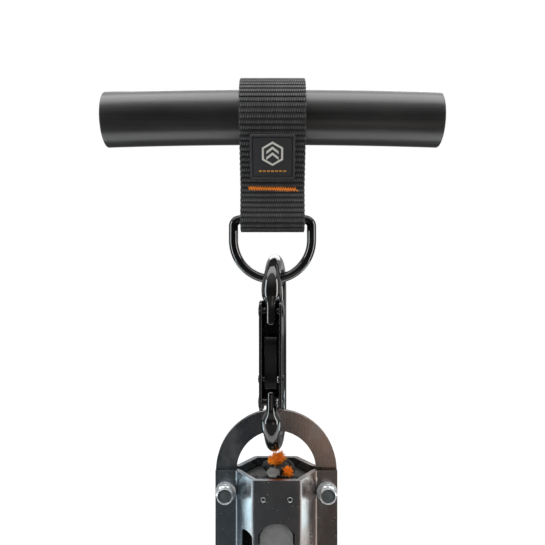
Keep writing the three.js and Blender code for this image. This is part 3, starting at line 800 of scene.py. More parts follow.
def ellipse(half_wide: float, half_deep: float, steps: int, power: float = 2.0) -> list[Flat]:
    """A closed oval; a power over 2 makes it squarer."""
    points = []
    for i in range(steps):
        c, s = cos(TURN * i / steps), sin(TURN * i / steps)
        points.append((half_wide * copysign(abs(c) ** (2 / power), c),
                       half_deep * copysign(abs(s) ** (2 / power), s)))
    return points


def eased(value: float, start: float, end: float) -> float:
    """Nought at start, one at end, smooth between; start may be the higher."""
    share = max(0.0, min(1.0, (value - start) / (end - start)))
    return share * share * (3 - 2 * share)


# --- pieces


def made(name: str, form: Form, smooth_degrees: float = SHARP) -> Piece:
    """Turns a form into an object, in metres, with its faces outward.

    Args:
        name: the piece's name.
        form: its shape.
        smooth_degrees: edges that bend more than this stay sharp.

    Returns:
        The object, linked to the scene.
    """
    mesh = bpy.data.meshes.new(name)
    mesh.from_pydata([corner * MM for corner in form.corners], [], form.faces)
    work = bmesh.new()
    work.from_mesh(mesh)
    bmesh.ops.remove_doubles(work, verts=work.verts, dist=2e-7)
    bmesh.ops.recalc_face_normals(work, faces=work.faces)
    work.to_mesh(mesh)
    work.free()
    piece = bpy.data.objects.new(name, mesh)
    bpy.context.scene.collection.objects.link(piece)
    smooth(piece, smooth_degrees)
    return piece


def smooth(piece: Piece, degrees: float) -> None:
    """Shades a piece smooth up to an edge angle."""
    piece.data.polygons.foreach_set("use_smooth", [True] * len(piece.data.polygons))
    piece.data.set_sharp_from_angle(angle=radians(degrees))


def baked(piece: Piece) -> Piece:
    """Turns a piece's modifiers into plain mesh."""
    bpy.context.view_layer.update()
    graph = bpy.context.evaluated_depsgraph_get()
    mesh = bpy.data.meshes.new_from_object(piece.evaluated_get(graph))
    piece.modifiers.clear()
    piece.data = mesh
    return piece


def combined(piece: Piece, form: Form, operation: str) -> Piece:
    """Cuts a form out of a piece, adds it, or keeps what they share.

    Args:
        piece: the piece that changes.
        form: the other shape.
        operation: DIFFERENCE, UNION or INTERSECT.

    Returns:
        The same piece.
    """
    tool = made("tool", form)
    modifier = piece.modifiers.new("join", "BOOLEAN")
    modifier.object = tool
    modifier.operation = operation
    modifier.solver = "EXACT"
    baked(piece)
    bpy.data.objects.remove(tool)
    return piece


def cut(piece: Piece, *forms: Form) -> Piece:
    """Cuts shapes that don't touch each other out of a piece."""
    every = forms[0]
    for form in forms[1:]:
        every = every + form
    return combined(piece, every, "DIFFERENCE")


def eased_edges(piece: Piece, width: float, segments: int = 2,
                angle: float = 35.0) -> Piece:
    """Rounds a piece's edges, as tumbling or deburring does.

    Args:
        piece: the piece.
        width: how far back the round starts, in millimetres.
        segments: faces across the round.
        angle: only edges that bend more than this are rounded.

    Returns:
        The same piece.
    """
    bevel = piece.modifiers.new("round", "BEVEL")
    bevel.width = width * MM
    bevel.segments = segments
    bevel.limit_method = "ANGLE"
    bevel.angle_limit = radians(angle)
    bevel.use_clamp_overlap = True
    baked(piece)
    smooth(piece, SHARP)
    weighted = piece.modifiers.new("flat faces", "WEIGHTED_NORMAL")
    weighted.keep_sharp = True
    return baked(piece)


def settled(piece: Piece, finish: Optional[Finish], body: Body, slot: Slot,
            *nodes: str) -> Piece:
    """Paints a piece and puts it on its body.

    Args:
        piece: the finished mesh.
        finish: its finish, or None if it is painted already.
        body: what it moves with.
        slot: the record's material slot; not used.
        nodes: the CAD nodes that it stands for.

    Returns:
        The same piece.
    """
    if finish is not None:
        shop.coat(piece, finish)
    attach(piece, body.value)
    if nodes:
        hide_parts(*nodes)
    log.info("%s rides on %s, %d faces", piece.name, body.value, len(piece.data.polygons))
    return piece


# --- geometry node patterns


class Pattern(NodeWriter):
    """A geometry node tree that makes what repeats."""

    def __init__(self, name: str, finish: Finish, sizes: dict[str, tuple[str, Any]]) -> None:
        """Args:
        name: the tree's name.
        finish: what its result is painted with.
        sizes: each named input's kind, such as Float, and its value.
        """
        super().__init__(bpy.data.node_groups.new(name, "GeometryNodeTree"))
        self.values = {}
        self.sockets = {}
        face = self.tree.interface
        face.new_socket("Geometry", in_out="INPUT", socket_type="NodeSocketGeometry")
        for label, (kind, value) in {**sizes, "Finish": ("Material", shop.material(finish))}.items():
            socket = face.new_socket(label, in_out="INPUT", socket_type="NodeSocket" + kind)
            self.sockets[label] = socket.identifier
            self.values[label] = value
        face.new_socket("Geometry", in_out="OUTPUT", socket_type="NodeSocketGeometry")
        self.entry = self.node("NodeGroupInput")

    def given(self, label: str) -> Socket:
        """A named input's socket inside the tree."""
        return self.entry.outputs[label]

    def number(self, label: str) -> Wire:
        """A named input as a wire."""
        return Wire(self.tree, self.given(label))

    def vector(self, x: Any = 0.0, y: Any = 0.0, z: Any = 0.0) -> Socket:
        """Three numbers or wires as one vector."""
        return self.node("ShaderNodeCombineXYZ", inputs={0: x, 1: y, 2: z}).outputs[0]

    def chance(self, low: Any, high: Any, seed: Any) -> Wire:
        """A different number between low and high for each element."""
        node = self.node("FunctionNodeRandomValue", {"data_type": "FLOAT"}, {
            "Min_001": low, "Max_001": high, "Seed": seed})
        return self.wire(node, "Value_001")

    def rotation(self, euler: Socket) -> Socket:
        """Three angles as a rotation."""
        return self.node("FunctionNodeEulerToRotation", inputs={0: euler}).outputs[0]

    def bead(self, sides: int, rings: int) -> Socket:
        """A small ball of radius one metre, to be scaled."""
        ball = self.node("GeometryNodeMeshUVSphere", inputs={
            "Segments": sides, "Rings": rings, "Radius": 1.0})
        shaded = self.node("GeometryNodeSetShadeSmooth", inputs={"Geometry": ball.outputs[0]})
        return shaded.outputs[0]

    def scaled(self, vector: Any, factor: Any) -> Socket:
        """A vector times a number."""
        node = self.node("ShaderNodeVectorMath", {"operation": "SCALE"}, {0: vector, "Scale": factor})
        return node.outputs[0]

    def index(self) -> Wire:
        """Each element's own number."""
        return self.wire(self.node("GeometryNodeInputIndex"))

    def line(self, count: Any, start: Any, offset: Any) -> Socket:
        """Points in a straight row."""
        node = self.node("GeometryNodeMeshLine", inputs={
            "Count": count, "Start Location": start, "Offset": offset})
        return node.outputs[0]

    def nudged(self, instances: Any, shift: Any) -> Socket:
        """Instances, each moved a little."""
        node = self.node("GeometryNodeTranslateInstances", inputs={
            "Instances": instances, "Translation": shift})
        return node.outputs[0]

    def copies(self, points: Any, instance: Any, rotation: Any, scale: Any) -> Socket:
        """Copies of an instance on points."""
        node = self.node("GeometryNodeInstanceOnPoints", inputs={
            "Points": points, "Instance": instance, "Rotation": rotation, "Scale": scale})
        return node.outputs[0]

    def realised(self, geometry: Any) -> Socket:
        """Instances made real."""
        return self.node("GeometryNodeRealizeInstances", inputs={"Geometry": geometry}).outputs[0]

    def close(self, geometry: Any) -> None:
        """Ends the tree in real geometry with its material.

        Args:
            geometry: the instances to realise.
        """
        painted = self.node("GeometryNodeSetMaterial", inputs={
            "Geometry": self.realised(geometry), "Material": self.given("Finish")})
        output = self.node("NodeGroupOutput")
        self.tree.links.new(painted.outputs[0], output.inputs[0])

    def grown(self, seedbed: Piece) -> Piece:
        """Runs the tree on an object and keeps the result as its mesh.

        Args:
            seedbed: the object whose mesh the tree starts from.

        Returns:
            The same object, with the result and without the modifier.
        """
        modifier = seedbed.modifiers.new(self.tree.name, "NODES")
        modifier.node_group = self.tree
        for label, identifier in self.sockets.items():
            modifier[identifier] = self.values[label]
        return baked(seedbed)


def point_bed(name: str, places: Sequence[Vector], along: Optional[Sequence[Vector]] = None
              ) -> Piece:
    """An object of loose points for a pattern to grow on.

    Args:
        name: the object's name.
        places: the points, in millimetres.
        along: a direction kept at each point as the attribute "along".

    Returns:
        The object.
    """
    bed = made(name, Form([Vector(p) for p in places], []))
    if along is not None:
        attribute = bed.data.attributes.new("along", "FLOAT_VECTOR", "POINT")
        attribute.data.foreach_set("vector", [value for vector in along for value in vector])
    return bed


def placed_copies(name: str, item: Piece, places: Sequence[Vector], finish: Finish
                  ) -> Piece:
    """Copies of one fastener at each of its places.

    Args:
        name: the piece's name.
        item: the fastener, made at the origin; it is removed afterwards.
        places: where the copies go, in millimetres.
        finish: the finish.

    Returns:
        The piece that holds every copy.
    """
    tree = Pattern("placed_fastener", finish, {"Item": ("Object", item)})
    info = tree.node("GeometryNodeObjectInfo", inputs={"Object": tree.given("Item")})
    copies = tree.copies(tree.given("Geometry"), info.outputs["Geometry"], (0.0, 0.0, 0.0), (1.0, 1.0, 1.0))
    tree.close(copies)
    piece = tree.grown(point_bed(name, places))
    bpy.data.objects.remove(item)
    return piece


# --- hanger bar


@dataclass
class HangerBar:
    """The gently arched tube that everything hangs from, and its end plugs."""

    radius: float = 21.2
    wall: float = 2.6
    bow_radius: float = 4000.0
    rim: float = 0.5
    plug_gap: float = 0.3
    plug_recess: float = 0.6
    plug_length: float = 14.0
    plug_wall: float = 2.0
    plug_cap: float = 3.0
    half: float = later(lambda: box("hanger_bar")[1].x)

    def bowed(self, form: Form) -> Form:
        """Lowers each point by the arch's fall at its place along the bar."""
        fall = 2 * self.bow_radius
        return Form([Vector((p.x, p.y, p.z - p.x * p.x / fall)) for p in form.corners], form.faces)

    def tube(self) -> Piece:
        """The tube, with its cut ends deburred."""
        bore = self.radius - self.wall
        steps = 48
        run = [self.half * (2 * i / steps - 1) for i in range(1, steps)]
        outer_right = arc((self.radius - self.rim, self.half - self.rim), self.rim, 0, TURN / 4, 4)
        inner_right = arc((bore + self.rim, self.half - self.rim), self.rim, TURN / 4, TURN / 2, 4)
        right = outer_right + inner_right
        profile = [(self.radius, x) for x in run] + right
        profile += [(bore, x) for x in reversed(run)] + mirrored(right)
        return made("tube", self.bowed(spun(profile, Axis.X, 112, True)), 60)

    def plug(self, side: int) -> Piece:
        """One end plug: a dished cap with a rounded rim, and a skirt in the bore.

        Args:
            side: -1 for left, 1 for right.

        Returns:
            The plug.
        """
        radius = self.radius - self.wall - self.plug_gap
        face = self.half - self.plug_recess
        back = face - self.plug_length
        inner = radius - self.plug_wall
        rim = arc((radius - 1.0, face - 1.0), 1.0, TURN / 4, 0, 5)
        profile = [(0.0, face - 0.9), (radius * 0.3, face - 0.85), (radius * 0.72, face - 0.6),
                   (radius * 0.8, face - 0.15), (radius * 0.84, face)] + rim
        for i in range(3):
            place = face - 4.0 - 3.0 * i
            profile += [(radius, place), (radius - 0.35, place - 0.5), (radius - 0.35, place - 1.0),
                        (radius, place - 1.5)]
        profile += [(radius, back + 0.6), (radius - 0.5, back), (inner, back),
                    (inner, face - self.plug_cap), (0.0, face - self.plug_cap)]
        turned = spun([(r, side * x) for r, x in profile], Axis.X, 72)
        return made("plug_" + HANDS[side], self.bowed(turned), 45)

    def build(self) -> None:
        """Makes and dresses the bar and its plugs."""
        settled(self.tube(), TUBE, Body.BAR, Slot.TUBE, "hanger_bar")
        for side, hand in HANDS.items():
            settled(self.plug(side), PLUG, Body.BAR, Slot.PLASTIC, "bar_plug_" + hand)


# --- webbing sling


@dataclass(frozen=True)
class BeltSpot:
    """A place on a belt: its path at no thickness, its outward direction and its length so far."""

    anchor: Vector
    outward: Vector
    along: Vector
    length: float

    def at(self, grow: float) -> Vector:
        """The place a given distance out from the belt's path."""
        return self.anchor + self.outward * grow


@dataclass
class Belt:
    """A belt in the YZ plane round directed circles of (y, z, signed radius)."""

    circles: list[tuple[float, float, float]]

    def headings(self) -> list[float]:
        """The outward angle along each straight, from one circle to the next."""
        found = []
        for i, (y, z, radius) in enumerate(self.circles):
            next_y, next_z, next_radius = self.circles[(i + 1) % len(self.circles)]
            rise = (next_radius - radius) / hypot(next_y - y, next_z - z)
            found.append(atan2(next_z - z, next_y - y) - asin(rise) - TURN / 4)
        return found

    def spots(self, grow: float, count: int) -> list[BeltSpot]:
        """Evenly spaced spots once round, by length at a given distance out.

        Args:
            grow: where the length is measured.
            count: how many spots.

        Returns:
            The spots in order.
        """
        headings = self.headings()
        dense = []
        fine = 160
        for i, (y, z, radius) in enumerate(self.circles):
            start, end = headings[i - 1], headings[i]
            while radius > 0 and end < start:
                end += TURN
            while radius < 0 and end > start:
                end -= TURN
            while abs(end - start) > TURN:
                end -= copysign(TURN, end - start)
            for k in range(fine + 1):
                angle = start + (end - start) * k / fine
                outward = Vector((0, cos(angle), sin(angle)))
                dense.append((Vector((0, y, z)) + outward * radius, outward))
        places = [anchor + outward * grow for anchor, outward in dense]
        lengths = [0.0]
        for i in range(len(places)):
            lengths.append(lengths[-1] + (places[(i + 1) % len(places)] - places[i]).length)
        total = lengths[-1]
        spots, j = [], 0
        for i in range(count):
            wanted = total * i / count
            while lengths[j + 1] < wanted:
                j += 1
            share = (wanted - lengths[j]) / max(1e-9, lengths[j + 1] - lengths[j])
            (here, out_here), (there, out_there) = dense[j], dense[(j + 1) % len(dense)]
            outward = out_here.lerp(out_there, share).normalized()
            along = Vector((0, -outward.z, outward.y))
            spots.append(BeltSpot(here.lerp(there, share), outward, along, wanted))
        return spots

    def total(self, grow: float) -> float:
        """The belt's length at a given distance out."""
        count = 400
        return self.spots(grow, count)[-1].length * count / (count - 1)


@dataclass
class Sling:
    """The two-ply webbing sling, its badge and its bar tacks."""

    bar_radius: float = 21.2
    inner_slack: float = 0.5
    outer_slack: float = 1.4
    ply: float = 2.8
    gap: float = 0.3
    wire_radius: float = 3.65
    bend_radius: float = 10.9
    pinch_z: float = later(lambda: middle("tack_front").z)
    wire_z: float = later(lambda: pivot("d_ring_swing").z)
    half_width: float = later(lambda: box("sling_outer_ply")[1].x)
    rib_pitch: float = 4.0
    rib_groove: float = 0.75
    edge_scallop: float = 0.55
    float_columns: int = 29
    float_size: Colour = (0.5, 1.35, 0.28)
    float_lean: float = 12.0
    stitches: int = 41
    stitch_pitch: float = 0.9
    stitch_drop: float = 0.028
    stitch_size: Colour = (0.36, 0.34, 2.0)
    stitch_lean: float = 21.0

    def belt(self, slack: float) -> Belt:
        """The belt round the bar, the pinch and the D-ring's bar."""
        pinch_y = self.gap - 0.05 + self.bend_radius
        return Belt([(0, 0, self.bar_radius + slack), (-pinch_y, self.pinch_z, -self.bend_radius),
                     (0, self.wire_z, self.wire_radius + self.gap),
                     (pinch_y, self.pinch_z, -self.bend_radius)])

    def strap(self, name: str, slack: float, inset: float, steps: int) -> Piece:
        """One ply, ribbed across on both faces, with scalloped edges.

        Args:
            name: the piece's name.
            slack: how far it stands off the bar.
            inset: how far its inner face lies out from the belt.
            steps: rings in each rib.

        Returns:
            The ply.
        """
        belt = self.belt(slack)
        outer = inset + self.ply
        ribs = round(belt.total(outer) / self.rib_pitch)
        rings = []
        for i, spot in enumerate(belt.spots(outer, ribs * steps)):
            crest = abs(sin(pi * i / steps)) ** 0.55
            top = outer + 0.25 - self.rib_groove * (1 - crest)
            low = inset + 0.3 * (1 - crest)
            half = self.half_width - self.edge_scallop * (1 - crest)
            edge = [(half - 0.9, top), (half - 0.35, top - 0.25), (half, top - 0.9), (half, low + 0.8),
                    (half - 0.4, low + 0.15), (half - 0.9, low)]
            spans = [half * (1 - 2 * k / 6) * 0.94 for k in range(1, 6)]
            ring = flipped(edge[:3]) + [(-s, top) for s in spans] + edge
            ring += [(s, low) for s in spans] + flipped(edge[3:])
            rings.append([spot.at(g) + Vector((x, 0, 0)) for x, g in ring])
        return made(name, lofted(rings, True), 75)

    def floats(self) -> Piece:
        """The rows of short slanted yarn floats on the crests of the outer ply's ribs."""
        belt = self.belt(self.inner_slack + self.outer_slack)
        outer = 2 * self.ply + self.gap
        ribs = round(belt.total(outer) / self.rib_pitch)
        lead, parts, proud = 0.62, 24, 0.12
        spots = belt.spots(outer, ribs * parts)[round(lead * parts)::parts]
        pitch = (2 * self.half_width - 1.0) / self.float_columns
        tree = Pattern("yarn_rows", WEBBING_FLOAT, {
            "Columns": ("Int", self.float_columns), "Pitch": ("Float", pitch * MM),
            "Half size": ("Vector", Vector(self.float_size) * MM),
            "Lean": ("Float", radians(self.float_lean)), "Seed": ("Int", 5)})
        start = (tree.number("Columns") - 1) * tree.number("Pitch") * -0.5
        line = tree.line(tree.given("Columns"), tree.vector(start), tree.vector(tree.number("Pitch")))
        jitter = tree.chance(-0.1, 0.1, tree.given("Seed"))
        slant = tree.rotation(tree.vector(0.0, 0.0, tree.number("Lean") + jitter))
        stretch = tree.scaled(tree.given("Half size"), tree.chance(0.88, 1.1, tree.number("Seed") + 1))
        row = tree.realised(tree.copies(line, tree.bead(6, 4), slant, stretch))
        direction = tree.node("GeometryNodeInputNamedAttribute", {"data_type": "FLOAT_VECTOR"}, {
            "Name": "along"})
        turned = tree.node("FunctionNodeAxesToRotation", {"primary_axis": "Y", "secondary_axis": "X"}, {
            0: direction.outputs[0], 1: (1.0, 0.0, 0.0)})
        rows = tree.copies(tree.given("Geometry"), row, turned.outputs[0], (1.0, 1.0, 1.0))
        tree.close(tree.nudged(rows, tree.vector((tree.index() % 2 - 0.5) * tree.number("Pitch") * 0.5)))
        return tree.grown(point_bed("sling_floats", [spot.at(outer + proud) for spot in spots],
                                    [spot.along for spot in spots]))

    def build(self) -> None:
        """Makes and dresses the plies, the badge and the tacks."""
        outer_inset = self.ply + self.gap
        outer = self.strap("sling_outer", self.inner_slack + self.outer_slack, outer_inset, 12)
        settled(outer, WEBBING, Body.SLING, Slot.WEBBING, "sling_outer_ply")
        inner = self.strap("sling_inner", self.inner_slack, 0.0, 8)
        settled(inner, WEBBING, Body.SLING, Slot.WEBBING, "sling_inner_ply")
        settled(self.floats(), None, Body.SLING, Slot.WEBBING)
        Badge(self.belt(self.inner_slack + self.outer_slack).headings()[0]).build()
        self.tacks()

    def tack(self, name: str, start: Vector, seed: int) -> Piece:
        """A bar tack's zig-zag of thick thread, sewn over twice.

        Args:
            name: the piece's name.
            start: the middle of the first stitch.
            seed: what its unevenness is drawn from.

        Returns:
            The piece.
        """
        step = Vector((self.stitch_pitch, 0, -self.stitch_drop))
        tree = Pattern("bar_tack", THREAD, {
            "Count": ("Int", self.stitches), "Start": ("Vector", start * MM),
            "Offset": ("Vector", step * MM), "Half size": ("Vector", Vector(self.stitch_size) * MM),
            "Lean": ("Float", radians(self.stitch_lean)), "Seed": ("Int", seed)})
        line = tree.line(tree.given("Count"), tree.given("Start"), tree.given("Offset"))
        side = (tree.index() % 2) * 2 - 1
        angle = side * tree.number("Lean") + tree.chance(-0.13, 0.13, tree.given("Seed"))
        turned = tree.rotation(tree.vector(0.0, angle, 0.0))
        stretch = tree.scaled(tree.given("Half size"), tree.chance(0.85, 1.12, tree.number("Seed") + 1))
        stitches = tree.copies(line, tree.bead(10, 8), turned, stretch)
        uneven = tree.chance(-0.22 * MM, 0.22 * MM, tree.number("Seed") + 2)
        tree.close(tree.nudged(stitches, tree.vector(0.0, side * 0.12 * MM, uneven)))
        return tree.grown(point_bed(name, [start]))

    def tacks(self) -> None:
        """Sews the orange bar tack on the front and on the back, and leaves a thread's end."""
        pitch, count = self.stitch_pitch, self.stitches
        face = 0.25 + 2 * self.ply + self.gap + 0.38
        for node, side, seed in (("tack_front", -1, 3), ("tack_rear", 1, 8)):
            start = Vector((-pitch * (count - 1) / 2, side * face, self.pinch_z + 0.5))
            settled(self.tack(node + "_thread", start, seed), None, Body.SLING, Slot.THREAD, node)
        tail_start = Vector((pitch * (count + 1) / 2, -face - 0.1, self.pinch_z - 0.8))
        tail = [tail_start + Vector((0.7 * t, -0.35 * sin(3 * t), -1.5 * t))
                for t in [k / 8 for k in range(9)]]
        end = made("tack_tail", swept(tail, BACK, ellipse(0.3, 0.3, 8), False), 60)
        settled(end, THREAD, Body.SLING, Slot.THREAD)


@dataclass
class Badge:
    """The moulded rubber badge: a framed field with a plain sign of chevrons in a hexagon."""

    heading: float
    half: float = 17.0
    thick: float = 2.0
    corner: float = 1.5
    mark_sunk: float = 0.3
    mark_short: float = 0.02

    def seat(self) -> Matrix:
        """The badge's own frame: X across, Y up the sling, Z out of it."""
        outward = Vector((0, cos(self.heading), sin(self.heading)))
        seat = Matrix((ACROSS, outward.cross(ACROSS), outward)).transposed().to_4x4()
        seat.translation = middle("badge")
        return seat

    def frame_and_field(self) -> Piece:
        """The body: a raised rim, a narrow groove and a flat field."""
        top = self.thick / 2
        levels = [(0.0, -top), (0.0, top - 0.5), (0.25, top - 0.08), (0.6, top), (1.25, top),
                  (1.5, top - 0.1), (1.65, top - 0.75), (2.2, top - 0.75), (2.35, top - 0.35),
                  (2.6, top - 0.25)]
        rings = []
        for inset, height in levels:
            side = self.half - inset
            outline = rectangle((-side, -side), (side, side), max(0.4, self.corner - inset * 0.4), 6)
            rings.append([Vector((x, y, height)) for x, y in outline])
        return made("badge_body", lofted(rings).moved(self.seat()), 32)

    def sign(self) -> Form:
        """A six-sided ring round two chevrons, standing on the field."""
        low, high = self.thick / 2 - self.mark_sunk, self.thick / 2 - self.mark_short
        lift_up, outer, inner = 2.6, 9.2, 7.5
        corners = [TURN * k / 6 + TURN / 12 for k in range(6)]
        rings = [[Vector((r * cos(a), lift_up + r * sin(a), h)) for a in corners]
                 for r, h in ((outer, low), (outer, high), (inner, high), (inner, low))]
        form = lofted(rings, True)
        for base in (-2.8, 1.6):
            wide, rise, thick = 4.6, 3.6, 2.1
            outline = [(-wide, base - rise / 2), (0, base + rise / 2), (wide, base - rise / 2),
                       (wide, base - rise / 2 + thick), (0, base + rise / 2 + thick),
                       (-wide, base - rise / 2 + thick)]
            form = form + prism([(x, y + lift_up) for x, y in outline], low, high, Axis.Z)
        return form

    def dashes(self) -> Form:
        """A row of plain dashes under the sign."""
        low, high = self.thick / 2 - self.mark_sunk, self.thick / 2 - self.mark_short
        form = Form([], [])
        count, pitch, wide, tall, drop = 7, 3.1, 2.2, 1.15, -10.6
        for k in range(count):
            x = (k - (count - 1) / 2) * pitch
            outline = rectangle((x - wide / 2, drop - tall / 2), (x + wide / 2, drop + tall / 2), 0.3, 3)
            form = form + prism(outline, low, high, Axis.Z)
        return form

    def build(self) -> None:
        """Makes and dresses the badge."""
        body = self.frame_and_field()
        shop.coat(body, RUBBER_FIELD)
        body.data.materials.append(shop.material(RUBBER_RIM))
        seat = self.seat().inverted()
        for face in body.data.polygons:
            place = seat @ (face.center / MM)
            face.material_index = int(max(abs(place.x), abs(place.y)) > self.half - 1.6)
        settled(body, None, Body.SLING, Slot.BADGE, "badge")
        marks = (("badge_sign", self.sign(), INK_PALE), ("badge_dashes", self.dashes(), INK_AMBER))
        for name, form, finish in marks:
            mark = eased_edges(made(name, form.moved(self.seat())), 0.1, 2)
            settled(mark, finish, Body.SLING, Slot.BADGE)


# --- D-ring


@dataclass
class DRing:
    """The forged D-ring."""

    wire_radius: float = 3.65
    corner: float = 5.4
    bar_z: float = later(lambda: pivot("d_ring_swing").z)
    low_z: float = later(lambda: pivot("hook_swing").z)
    half: float = later(lambda: box("d_ring")[1].x - 3.65)

    def path(self) -> list[Vector]:
        """The wire's centre line, once round."""
        arc_z = self.low_z + self.half
        straight = self.half - self.corner
        flat = [(straight * (2 * k / 40 - 1), self.bar_z) for k in range(40)]
        flat += arc((straight, self.bar_z - self.corner), self.corner, TURN / 4, 0, 14)
        side = self.bar_z - self.corner - arc_z
        flat += [(self.half, arc_z + side * (1 - k / 10)) for k in range(1, 10)]
        flat += arc((0, arc_z), self.half, 0, -TURN / 2, 110)
        flat += [(-self.half, arc_z + side * k / 10) for k in range(1, 10)]
        flat += arc((-straight, self.bar_z - self.corner), self.corner, TURN / 2, TURN / 4, 14)[:-1]
        return [Vector((x, 0, z)) for x, z in flat]

    def build(self) -> None:
        """Makes and dresses the ring, with the faint seam of its weld on the straight bar."""
        path = self.path()
        weld, swell, spread = 20, 0.035, 1.2
        swells = [1 + swell * exp(-((i - weld) / spread) ** 2) for i in range(len(path))]
        section = ellipse(self.wire_radius, self.wire_radius, 40)
        ring = made("ring", swept(path, BACK, section, True, [(w, w) for w in swells]), 60)
        settled(ring, GLOSS, Body.RING, Slot.GLOSS, "d_ring")


# --- snap hook


@dataclass
class SnapHook:
    """The double-lock snap hook: forged frame, channel gate and lock lever, built in its own frame."""

    rod_wide: float = 6.0
    rod_deep: float = 7.6
    rod_y: float = 22.4
    bulge: float = 7.5
    nose_tang: float = 4.5
    heel_tang: float = 3.8
    tang_deep: float = 5.0
    gate_half: float = 8.5
    sheet: float = 2.0
    gap: float = 0.3
    head_thick: float = 0.8
    top_bend: float = -137.8
    low_bend: float = -231.0
    nose_low: float = -161.2
    heel_top: float = -209.6
    latch_z: float = -150.5
    latch_radius: float = 2.5
    lever_radius: float = 2.0
    rivet_radius: float = 3.0
    web: float = -13.0
    lip: float = -29.0
    gate_top: float = -142.8
    gate_bottom: float = -224.7
    web_relief: float = 3.0
    lever_y: float = -24.0
    rivet_z: float = later(lambda: pivot("gate_opening").z)
    lever_z: float = later(lambda: pivot("lever_press").z)

    def seat(self) -> Matrix:
        """The hook's own frame: X across it, Y towards its spine."""
        hinge = Vector(joint_named("gate_opening")["axis"])
        yaw = atan2(-hinge.y, -hinge.x)
        return Matrix.Translation((pivot("hook_swing").x, 0, 0)) @ Matrix.Rotation(yaw, 4, "Z")

    def piece(self, name: str, form: Form, degrees: float = SHARP) -> Piece:
        """A piece of the hook, moved from the hook's own frame to its place."""
        return made(name, form.moved(self.seat()), degrees)

    def width_at(self, y: float, z: float) -> Flat:
        """How wide and deep the forging is at a place, as shares of the rod's section.

        Args:
            y: the place across the hook.
            z: its height.

        Returns:
            The two shares.
        """
        if y > -self.rod_y + 6:
            return 1.0, 1.0
        top, low = self.top_bend, self.low_bend
        if z > (top + low) / 2:
            swell = eased(z, top - 11.0, top + 3.0) * eased(z, top + 17, top + 6)
            tang = eased(z, top - 1.0, top - 10.5)
            thin = self.nose_tang
        else:
            swell = eased(z, low + 8.5, low - 2.0) * eased(z, low - 13, low - 5)
            tang = eased(z, low - 1.0, low + 8.0)
            thin = self.heel_tang
        wide = self.rod_wide + (self.bulge - self.rod_wide) * swell
        wide += (thin - wide) * tang
        deep = self.rod_deep + (self.tang_deep - self.rod_deep) * tang
        return wide / self.rod_wide, deep / self.rod_deep

    def frame(self) -> Piece:
        """The forged frame, from the nose's tang round the spine to the heel's tang."""
        flat = []
        reach, steps, shift = self.top_bend - self.nose_low, 44, -1.0
        for k in range(steps):
            z = self.nose_low + reach * k / steps
            flat.append((-self.rod_y + shift * eased(z, self.top_bend, self.top_bend - 10), z))
        flat += arc((0, self.top_bend), self.rod_y, TURN / 2, 0, 60)
        flat += [(self.rod_y, self.top_bend + (self.low_bend - self.top_bend) * k / 30) for k in range(1, 30)]
        flat += arc((0, self.low_bend), self.rod_y, 0, -TURN / 2, 60)
        rise = self.heel_top - self.low_bend
        flat += [(-self.rod_y, self.low_bend + rise * k / steps) for k in range(1, steps + 1)]
        scales = []
        for i, (y, z) in enumerate(flat):
            wide, deep = self.width_at(y, z)
            from_end = min(i, len(flat) - 1 - i)
            round_end = sqrt(max(0.0, 1 - (1 - min(1.0, (from_end + 0.35) / 5.0)) ** 2))
            scales.append((wide * (0.25 + 0.75 * round_end), deep * (0.35 + 0.65 * round_end)))
        section = ellipse(self.rod_wide, self.rod_deep, 40, 2.1)
        path = [Vector((0, y, z)) for y, z in flat]
        forging = self.piece("hook_forging", swept(path, ACROSS, section, False, scales), 60)
        room = self.latch_radius + self.gap
        notch = rectangle((-self.rod_y - room, self.latch_z - room - 1.4),
                          (-self.rod_y + 12, self.latch_z + room), 0.8)
        hole = rod(self.rivet_radius + self.gap, -8, 8, Axis.X).shifted(0, -self.rod_y, self.rivet_z)
        cut(forging, prism(notch, -8, 8, Axis.X).moved(self.seat()), hole.moved(self.seat()))
        smooth(forging, 50)
        return forging

    def channel(self) -> Piece:
        """The pressed channel gate, rounded at its ends and drilled for its pins."""
        web, lip, top, bottom = self.web, self.lip, self.gate_top, self.gate_bottom
        half, inner = self.gate_half, self.gate_half - self.sheet
        outline = filleted([(half, lip), (half, web), (-half, web), (-half, lip), (-inner, lip),
                            (-inner, web - self.sheet), (inner, web - self.sheet), (inner, lip)],
                           [0.5, 3.2, 3.2, 0.5, 0.5, 1.3, 1.3, 0.5], 6)
        gate = self.piece("gate_body", prism(outline, bottom - 2, top + 2, Axis.Z))
        side = prism(rectangle((lip - 0.01, bottom), (web + 0.01, top), 5.0, 10), -half - 2, half + 2, Axis.X)
        combined(gate, side.moved(self.seat()), "INTERSECT")
        drills = Form([], [])
        for radius, y, z in ((self.rivet_radius, -self.rod_y, self.rivet_z),
                             (self.latch_radius, -self.rod_y, self.latch_z),
                             (self.lever_radius, self.lever_y, self.lever_z)):
            drills = drills + rod(radius + 0.15, -half - 3, half + 3, Axis.X, 36).shifted(0, y, z)
        cut(gate, drills.moved(self.seat()))
        room = self.web_relief
        notch = rectangle((-inner, web - room), (inner, web + room), 0.4, 4)
        relief = prism(notch, bottom - room, bottom + room, Axis.Z)
        cut(gate, relief.moved(self.seat()))
        return eased_edges(gate, 0.42, 3)

    def pin(self, name: str, radius: float, head: float, y: float, z: float) -> Piece:
        """A pin with a domed head at each side of the gate.

        Args:
            name: the piece's name.
            radius: the shank.
            head: the head's radius.
            y: where it lies across the hook.
            z: its height.

        Returns:
            The pin.
        """
        near = self.gate_half + self.gap * 0.3
        far = self.gate_half + self.gap + self.head_thick
        half_profile = [(radius, near), (head - 0.15, near), (head, near + 0.2), (head * 0.93, far - 0.25),
                        (head * 0.72, far - 0.06), (head * 0.4, far), (0.0, far)]
        profile = mirrored(half_profile) + half_profile
        return self.piece(name, spun(profile, Axis.X, 40).shifted(0, y, z), 50)

